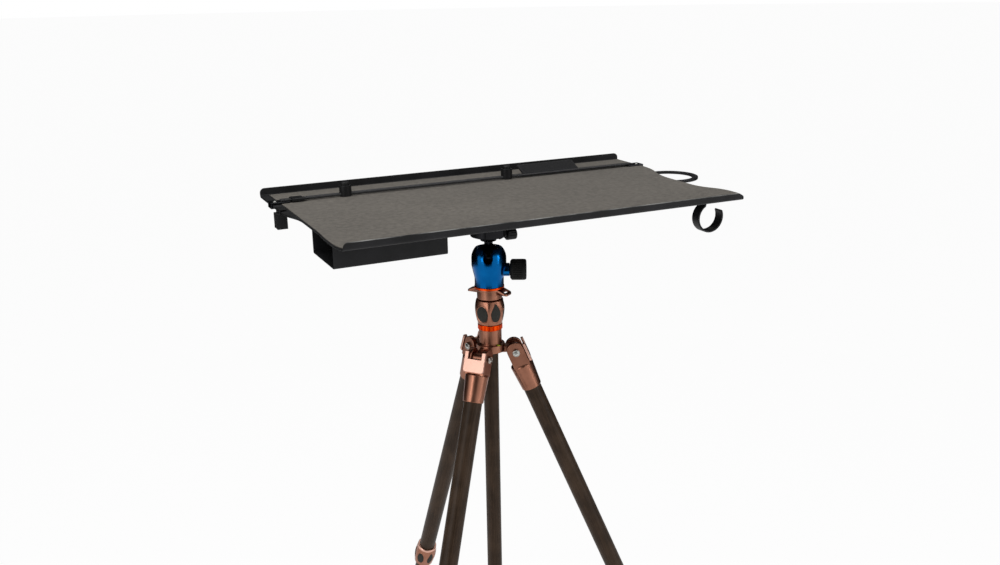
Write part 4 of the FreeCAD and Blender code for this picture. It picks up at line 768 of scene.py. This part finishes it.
# Column twist lock: a turned barrel with six soft facets, each with a rubber pad let into it for
# grip, three oval and three drop shaped. The metal stands up as a bright bead round each pad.
# Pad rubber: dark grey, matt, with fine ribs across it.
pad_rubber, tree, shader, place = new_material(
    "moulded_rubber_grey", {"IOR": 1.5, "Specular IOR Level": 0.16})
ribs = add_node(tree, "ShaderNodeTexWave", {"bands_direction": "Z"}, {
    "Vector": place, "Scale": 1 / (1.5 * MM) / 3.2, "Distortion": 0.5})
dust = add_node(tree, "ShaderNodeTexNoise", {}, {
    "Vector": place, "Scale": 1 / (3 * MM), "Detail": 4.0})
tone = add_node(tree, "ShaderNodeMix", {"data_type": "RGBA"}, {
    0: dust.outputs["Fac"], 6: linear("#232320"), 7: linear("#3a3935")})
gloss = add_node(tree, "ShaderNodeMapRange", {}, {
    "Value": ribs.outputs["Fac"], "To Min": 0.55, "To Max": 0.8})
bumps = add_node(tree, "ShaderNodeBump", {}, {
    "Strength": 0.5, "Distance": 0.12 * MM, "Height": ribs.outputs["Fac"]})
link(tree, tone.outputs[2], shader, "Base Color")
link(tree, gloss.outputs["Result"], shader, "Roughness")
link(tree, bumps.outputs["Normal"], shader, "Normal")


def barrel_shape(height, low, wide, high, widest, first, share):
    """The radius of a six-sided barrel; first is the angle of a facet and share its flatness."""
    def reach(up, angle):
        if up < widest:
            base = low + (wide - low) * math.sin(math.pi / 2 * max(0.0, up) / widest)
        else:
            base = high + (wide - high) * math.cos(
                math.pi / 2 * (min(up, height) - widest) / (height - widest))
        off = (angle - first + math.pi / 6) % (math.pi / 3) - math.pi / 6
        flat = math.cos(math.pi / 6) / math.cos(off)
        bulge = math.sin(math.pi * min(max(up / height, 0), 1)) ** 0.6
        return base * (1 + (flat - 1) * share * bulge)
    return reach


def barrel(name, height, shape, inner, materials, place):
    """The turned body, from its bore's outline inside to the shape's own line outside."""
    edge = 0.7
    eased, outside = 100, 101  # marks that stand in for a radius until the shape gives it
    heights = [edge + (height - 2 * edge) * step / 26 for step in range(27)]
    outline = inner + [(eased, 0)] + [(outside, up) for up in heights] + [(eased, height)]

    def reach(radius, up, angle):
        if radius < eased:
            return radius
        return shape(up, angle) - (edge if radius == eased else 0)
    return turned(name, outline, materials, steps=96, closed=True, rule=reach, place=place)


def pads(name, shape, middles, outlines, materials, place):
    """Rubber pads in raised metal beads; outlines are (across, up) points round (0, middle)."""
    bm = bmesh.new()
    # From the bead's foot to the pad's middle: share of the outline, lift, and metal 0 or rubber 1
    section = [(1.16, -0.5, 0), (1.16, 0.0, 0), (1.11, 0.38, 0), (1.05, 0.42, 0), (1.0, 0.0, 0),
               (0.97, 0.1, 1), (0.88, 0.5, 1), (0.6, 0.75, 1), (0.3, 0.85, 1)]
    for angle, (middle, outline) in zip(middles, outlines):
        def spot(across, up, lift):
            round_to = angle + across / shape(up, angle)
            reach = shape(up, round_to) + lift
            out = Vector((reach * math.cos(round_to), reach * math.sin(round_to), up))
            return place @ (out * MM)
        rings = []
        for scale, lift, finish in section:
            rings.append([
                bm.verts.new(spot(across * scale, middle + (up - middle) * scale, lift))
                for across, up in outline])
        count = len(outline)
        for (low, high), (scale, lift, finish) in zip(zip(rings, rings[1:]), section[1:]):
            for step in range(count):
                after = (step + 1) % count
                face = bm.faces.new([low[step], low[after], high[after], high[step]])
                face.material_index = finish
        for ring, lift, finish in ((rings[0], -0.6, 0), (rings[-1], 0.9, 1)):
            centre = bm.verts.new(spot(0, middle, lift))
            for step in range(count):
                face = bm.faces.new([ring[step], ring[(step + 1) % count], centre])
                face.material_index = finish
    bmesh.ops.recalc_face_normals(bm, faces=bm.faces)
    return mesh_piece(name, bm, *materials)


def oval(width, height, middle, points=32):
    """A pad's middle height and its outline round it."""
    return middle, [(width / 2 * math.cos(2 * math.pi * step / points),
                     middle + height / 2 * math.sin(2 * math.pi * step / points))
                    for step in range(points)]


def drop(width, height, middle, points=32):
    """An oval drawn out to a soft point at its top."""
    outline = []
    for step in range(points):
        angle = 2 * math.pi * step / points
        up = math.sin(angle)
        narrow = 1 - 0.55 * max(0.0, up) ** 1.2
        outline.append((width / 2 * math.cos(angle) * narrow, middle + height / 2 * up))
    return middle, outline


lock_low, lock_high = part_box("column_lock")
lock_height = (lock_high.z - lock_low.z) / MM
lock_place = Matrix.Translation((axis_x, axis_y, lock_low.z))
column_bore = 12.1
first_facet = 31
column_shape = barrel_shape(lock_height, low=18.9, wide=23.3, high=20.5, widest=24.6,
                            first=math.radians(first_facet), share=0.55)
column_lock = barrel("column_lock_barrel", lock_height, column_shape,
                     [(column_bore, lock_height), (column_bore, 0)], [bronze_anodised], lock_place)
fit(column_lock, "column_lock")
column_pads = pads("column_lock_pads", column_shape,
                   [math.radians(first_facet + 60 * number) for number in range(-3, 3)],
                   [oval(19.5, 25.5, 18.2), drop(15.5, 29.5, 20.2)] * 3,
                   [bronze_anodised, pad_rubber], lock_place)
fit(column_pads, "column_lock", shows=False)

# Knurled ring under the lock: turned aluminium, anodised orange, with coarse milled notches.
ring_low, ring_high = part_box("knurled_ring")
ring_height = (ring_high.z - ring_low.z) / MM
ring_radius = 18.9
knurled_ring = turned("knurled_ring_milled", rounded([
    (column_bore, 0), (ring_radius, 0, 0.7), (ring_radius, 1.0), (ring_radius, 1.3),
    (ring_radius, ring_height - 1.3), (ring_radius, ring_height - 1.0),
    (ring_radius, ring_height, 0.7), (column_bore, ring_height),
], steps=3), [orange_anodised], steps=360, closed=True,
    rule=flutes(18, 1.5, 0.6, ring_height - 0.6, 18, narrow=6),
    place=Matrix.Translation((axis_x, axis_y, ring_low.z)))
fit(knurled_ring, "knurled_ring")

# Hub: a cast flange with three arms and a neck, machined, blasted and anodised bronze. The
# column slides in its neck.
from_solid("spider", 0.6, bronze_anodised)

# Round level: a vial of yellow-green fluid pressed into the flange at the right.
level_fluid = mottled(
    "level_fluid_green", {"Metallic": 0.0, "Roughness": 0.08, "IOR": 1.45,
                          "Transmission Weight": 0.35},
    size=2, detail=1, colours=("#9fa81c", "#d0d636"))
level_low, level_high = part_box("bubble_level")
level_place = Matrix.Translation(
    ((level_low.x + level_high.x) / 2, (level_low.y + level_high.y) / 2, level_low.z))
level_height = (level_high.z - level_low.z) / MM
bubble_level = turned("bubble_level_vial", rounded([
    (0, 0), (2.1, 0), (2.1, level_height), (3.3, level_height + 0.1, 0.3),
    (2.6, level_height + 1.2, 1.0), (0, level_height + 1.4),
], closed=False, steps=4), [level_fluid], steps=32, place=level_place)
fit(bubble_level, "bubble_level")

# Hinge bolts: one steel bolt through each arm and crown, zinc plated, on which a leg folds.
from_solid("hinge_bolts", 0.4, zinc_plate)

# Hinge bolt caps: a turned ring round a domed cap with a cross slot, on each bolt's ends.
cap_piece = turned("bolt_cap", rounded([
    (0, 0), (5.3, 0), (5.3, 0.9, 0.3), (4.4, 0.9, 0.2), (4.2, 0.4), (3.9, 0.4), (3.6, 1.0, 0.3),
    (2.0, 1.35), (0, 1.5),
], closed=False, steps=3), [zinc_plate], steps=36)
slot_bm = bmesh.new()
for width, length in ((0.9, 5.6), (5.6, 0.9)):
    bmesh.ops.create_cube(slot_bm, size=1, matrix=Matrix.Translation((0, 0, 1.3 * MM))
                          @ Matrix.Diagonal((width * MM, length * MM, 1.4 * MM, 1)))
slot_piece = mesh_piece("bolt_slot", slot_bm)
cutter = cap_piece.modifiers.new("slot", "BOOLEAN")
cutter.operation = "DIFFERENCE"
cutter.solver = "EXACT"
cutter.use_self = True
cutter.object = slot_piece
settle(cap_piece)
bolt_cap = cap_piece.data
bpy.data.objects.remove(slot_piece)
bpy.data.objects.remove(cap_piece)

# Legs: a crown of bronze anodised aluminium folds on the hub's arm and is glued on the upper
# tube. Its latch is a pressed copper-coloured plate. The tubes are carbon fibre, the lower one
# slides in the upper one, and the foot is black rubber.
# Copper anodising: pale pink, coarsely blasted, so it has a frosted glint.
copper_anodised = mottled(
    "anodised_aluminium_copper", {"Metallic": 1.0, "Roughness": 0.38}, size=1.0, detail=3,
    colours=("#c59583", "#e6bbaa"),
    grain_size=1.0, grain_detail=3, grain_strength=0.35, grain_depth=0.06)
bolts_low, bolts_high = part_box("hinge_bolts")
hinge_height = (bolts_low.z + bolts_high.z) / 2
hinge_reach = 38 * MM
splay = math.radians(-22.5)
bolt_seat = 18.1 * MM
leg_lock_drop = 528 * MM
leg_lock_height = 44
leg_lock_bore = 14.2
lower_tube_bore = 12.6
socket_end = 22.7
rim_start = 40 * MM
leg_shape = barrel_shape(leg_lock_height, low=16.8, wide=19.4, high=16.8, widest=24,
                         first=0, share=0.45)
bolt_caps = bmesh.new()
for leg, azimuth in ((1, -141), (2, -21), (3, 99)):
    leg_place = (
        Matrix.Translation((axis_x, axis_y, hinge_height))
        @ Matrix.Rotation(math.radians(azimuth), 4, "Z") @ Matrix.Translation((hinge_reach, 0, 0))
        @ Matrix.Rotation(splay, 4, "Y"))
    for side in (-1, 1):
        cap = bolt_cap.copy()
        cap.transform(leg_place @ Matrix.Rotation(math.radians(-90 * side), 4, "X")
                      @ Matrix.Translation((0, 0, bolt_seat)))
        bolt_caps.from_mesh(cap)
    from_solid(f"leg_{leg}_crown", 0.9, bronze_anodised)
    from_solid(f"leg_{leg}_latch", 0.7, copper_anodised)
    lay_grain(from_solid(f"leg_{leg}_upper_tube", 0, carbon_tube), leg_place)
    lay_grain(from_solid(f"leg_{leg}_lower_tube", 0, carbon_tube), leg_place)
    from_solid(f"leg_{leg}_foot", 0.6, grip_rubber)

    # Leg twist lock: a barrel like the column's, with a copper rim above its rubber pads.
    lock_place = leg_place @ Matrix.Translation((0, 0, -leg_lock_drop))
    leg_lock = barrel(f"leg_{leg}_lock_barrel", leg_lock_height, leg_shape,
                      [(leg_lock_bore, leg_lock_height), (leg_lock_bore, socket_end),
                       (lower_tube_bore, socket_end), (lower_tube_bore, 0)],
                      [bronze_anodised, copper_anodised], lock_place)
    back = lock_place.inverted()
    for face in leg_lock.data.polygons:
        if (back @ face.center).z > rim_start:
            face.material_index = 1
    fit(leg_lock, f"leg_{leg}_twist_lock")
    leg_pads = pads(f"leg_{leg}_lock_pads", leg_shape,
                    [math.radians(60 * number) for number in range(6)],
                    [oval(12.5, 25, 20), drop(11.5, 27, 21)] * 3,
                    [bronze_anodised, pad_rubber], lock_place)
    fit(leg_pads, f"leg_{leg}_twist_lock", shows=False)

fit(mesh_piece("hinge_bolt_caps", bolt_caps, zinc_plate), "hinge_bolts", shows=False)

# Studio: a pale floor that the camera and the metal see as white, three soft boxes, an even white
# room, and black cards beside the camera that only reflections see, which shape the metal.
floor_paint, tree, shader, place = new_material(
    "floor_white", {"Roughness": 0.8, "Base Color": linear("#fafafa")})


def seen_by_eye(tree):
    """1 for rays of the camera, of mirrors and of glass, 0 for those that light things."""
    path = add_node(tree, "ShaderNodeLightPath")
    seen = path.outputs["Is Camera Ray"]
    for kind in ("Is Glossy Ray", "Is Transmission Ray"):
        seen = add_node(tree, "ShaderNodeMath", {"operation": "MAXIMUM"}, {
            0: seen, 1: path.outputs[kind]}).outputs["Value"]
    return seen


white_share = 0.93
share = add_node(tree, "ShaderNodeMath", {"operation": "MULTIPLY"}, {
    0: seen_by_eye(tree), 1: white_share})
glow = add_node(tree, "ShaderNodeEmission", {}, {"Color": (1, 1, 1, 1), "Strength": 1.0})
mixed = add_node(tree, "ShaderNodeMixShader", {}, {
    0: share.outputs["Value"], 1: shader.outputs["BSDF"], 2: glow.outputs["Emission"]})
tree.links.new(mixed.outputs["Shader"], tree.nodes["Material Output"].inputs["Surface"])
bm = bmesh.new()
bmesh.ops.create_circle(bm, cap_ends=True, segments=64, radius=60)
floor = mesh_piece("studio_floor", bm, floor_paint)

room = bpy.data.worlds.new("studio_room")
bpy.context.scene.world = room
room.use_nodes = True
tree = room.node_tree
level = add_node(tree, "ShaderNodeMapRange", {}, {
    "Value": seen_by_eye(tree), "To Min": 0.55, "To Max": 1.0})
tree.nodes["Background"].inputs["Color"].default_value = (1, 1, 1, 1)
tree.links.new(level.outputs["Result"], tree.nodes["Background"].inputs["Strength"])

card_felt = mottled("black_felt", {"Specular IOR Level": 0.0}, size=5, detail=2,
                    colours=("#050505", "#0a0a0a"))
card_distance = 2.6
card_low = -0.3
card_high = 3.4


def black_card(name, start, end):
    """A curved card round the column, from one compass angle to another, in degrees."""
    bm = bmesh.new()
    edges = []
    for step in range(13):
        angle = math.radians(start + (end - start) * step / 12)
        spot = Vector((axis_x + card_distance * math.cos(angle),
                       axis_y + card_distance * math.sin(angle), 0))
        edges.append([bm.verts.new(spot + Vector((0, 0, height)))
                      for height in (card_low, card_high)])
    for before, after in zip(edges, edges[1:]):
        bm.faces.new([before[0], after[0], after[1], before[1]])
    card = mesh_piece(name, bm, card_felt)
    card.visible_camera = False
    card.visible_diffuse = False
    card.visible_transmission = False
    card.visible_shadow = False


black_card("card_middle", -142, -94)
black_card("card_left", -300, -192)
black_card("card_right", -46, 58)


def soft_box(name, spot, aim, width, height, power):
    lamp = bpy.data.lights.new(name, "AREA")
    lamp.shape = "RECTANGLE"
    lamp.size = width
    lamp.size_y = height
    lamp.energy = power
    box = bpy.data.objects.new(name, lamp)
    box.location = spot
    box.rotation_euler = (Vector(aim) - Vector(spot)).to_track_quat("-Z", "Y").to_euler()
    bpy.context.scene.collection.objects.link(box)


soft_box("soft_box_top", (-0.6, -0.2, 3.2), (0, 0, sheet_bottom), 2.2, 1.6, 26)
soft_box("soft_box_left", (-2.4, -1.2, 1.5), (0, 0, 0.9), 0.8, 2.2, 18)
soft_box("soft_box_right", (1.7, -1.9, 1.3), (0, 0, 0.9), 0.5, 2.2, 14)

# Camera: where the photograph was taken from, worked out from the column and the table's height.
table_middle = Vector((axis_x, axis_y, skin_high.z))
camera_reach = Vector((-605.68, -1315.08, 298.78)) * MM
camera_yaw = math.radians(-25.37)
camera_pitch = math.radians(90 - 16.69)
camera_roll = math.radians(-0.96)
view = bpy.data.cameras.new("camera")
view.sensor_width = 36
view.lens = 36.02
view.clip_end = 200
camera = bpy.data.objects.new("camera", view)
camera.matrix_world = (
    Matrix.Translation(table_middle + camera_reach) @ Matrix.Rotation(camera_yaw, 4, "Z")
    @ Matrix.Rotation(camera_pitch, 4, "X") @ Matrix.Rotation(camera_roll, 4, "Z"))
bpy.context.scene.collection.objects.link(camera)
bpy.context.scene.camera = camera
bpy.context.scene.view_settings.view_transform = "Standard"
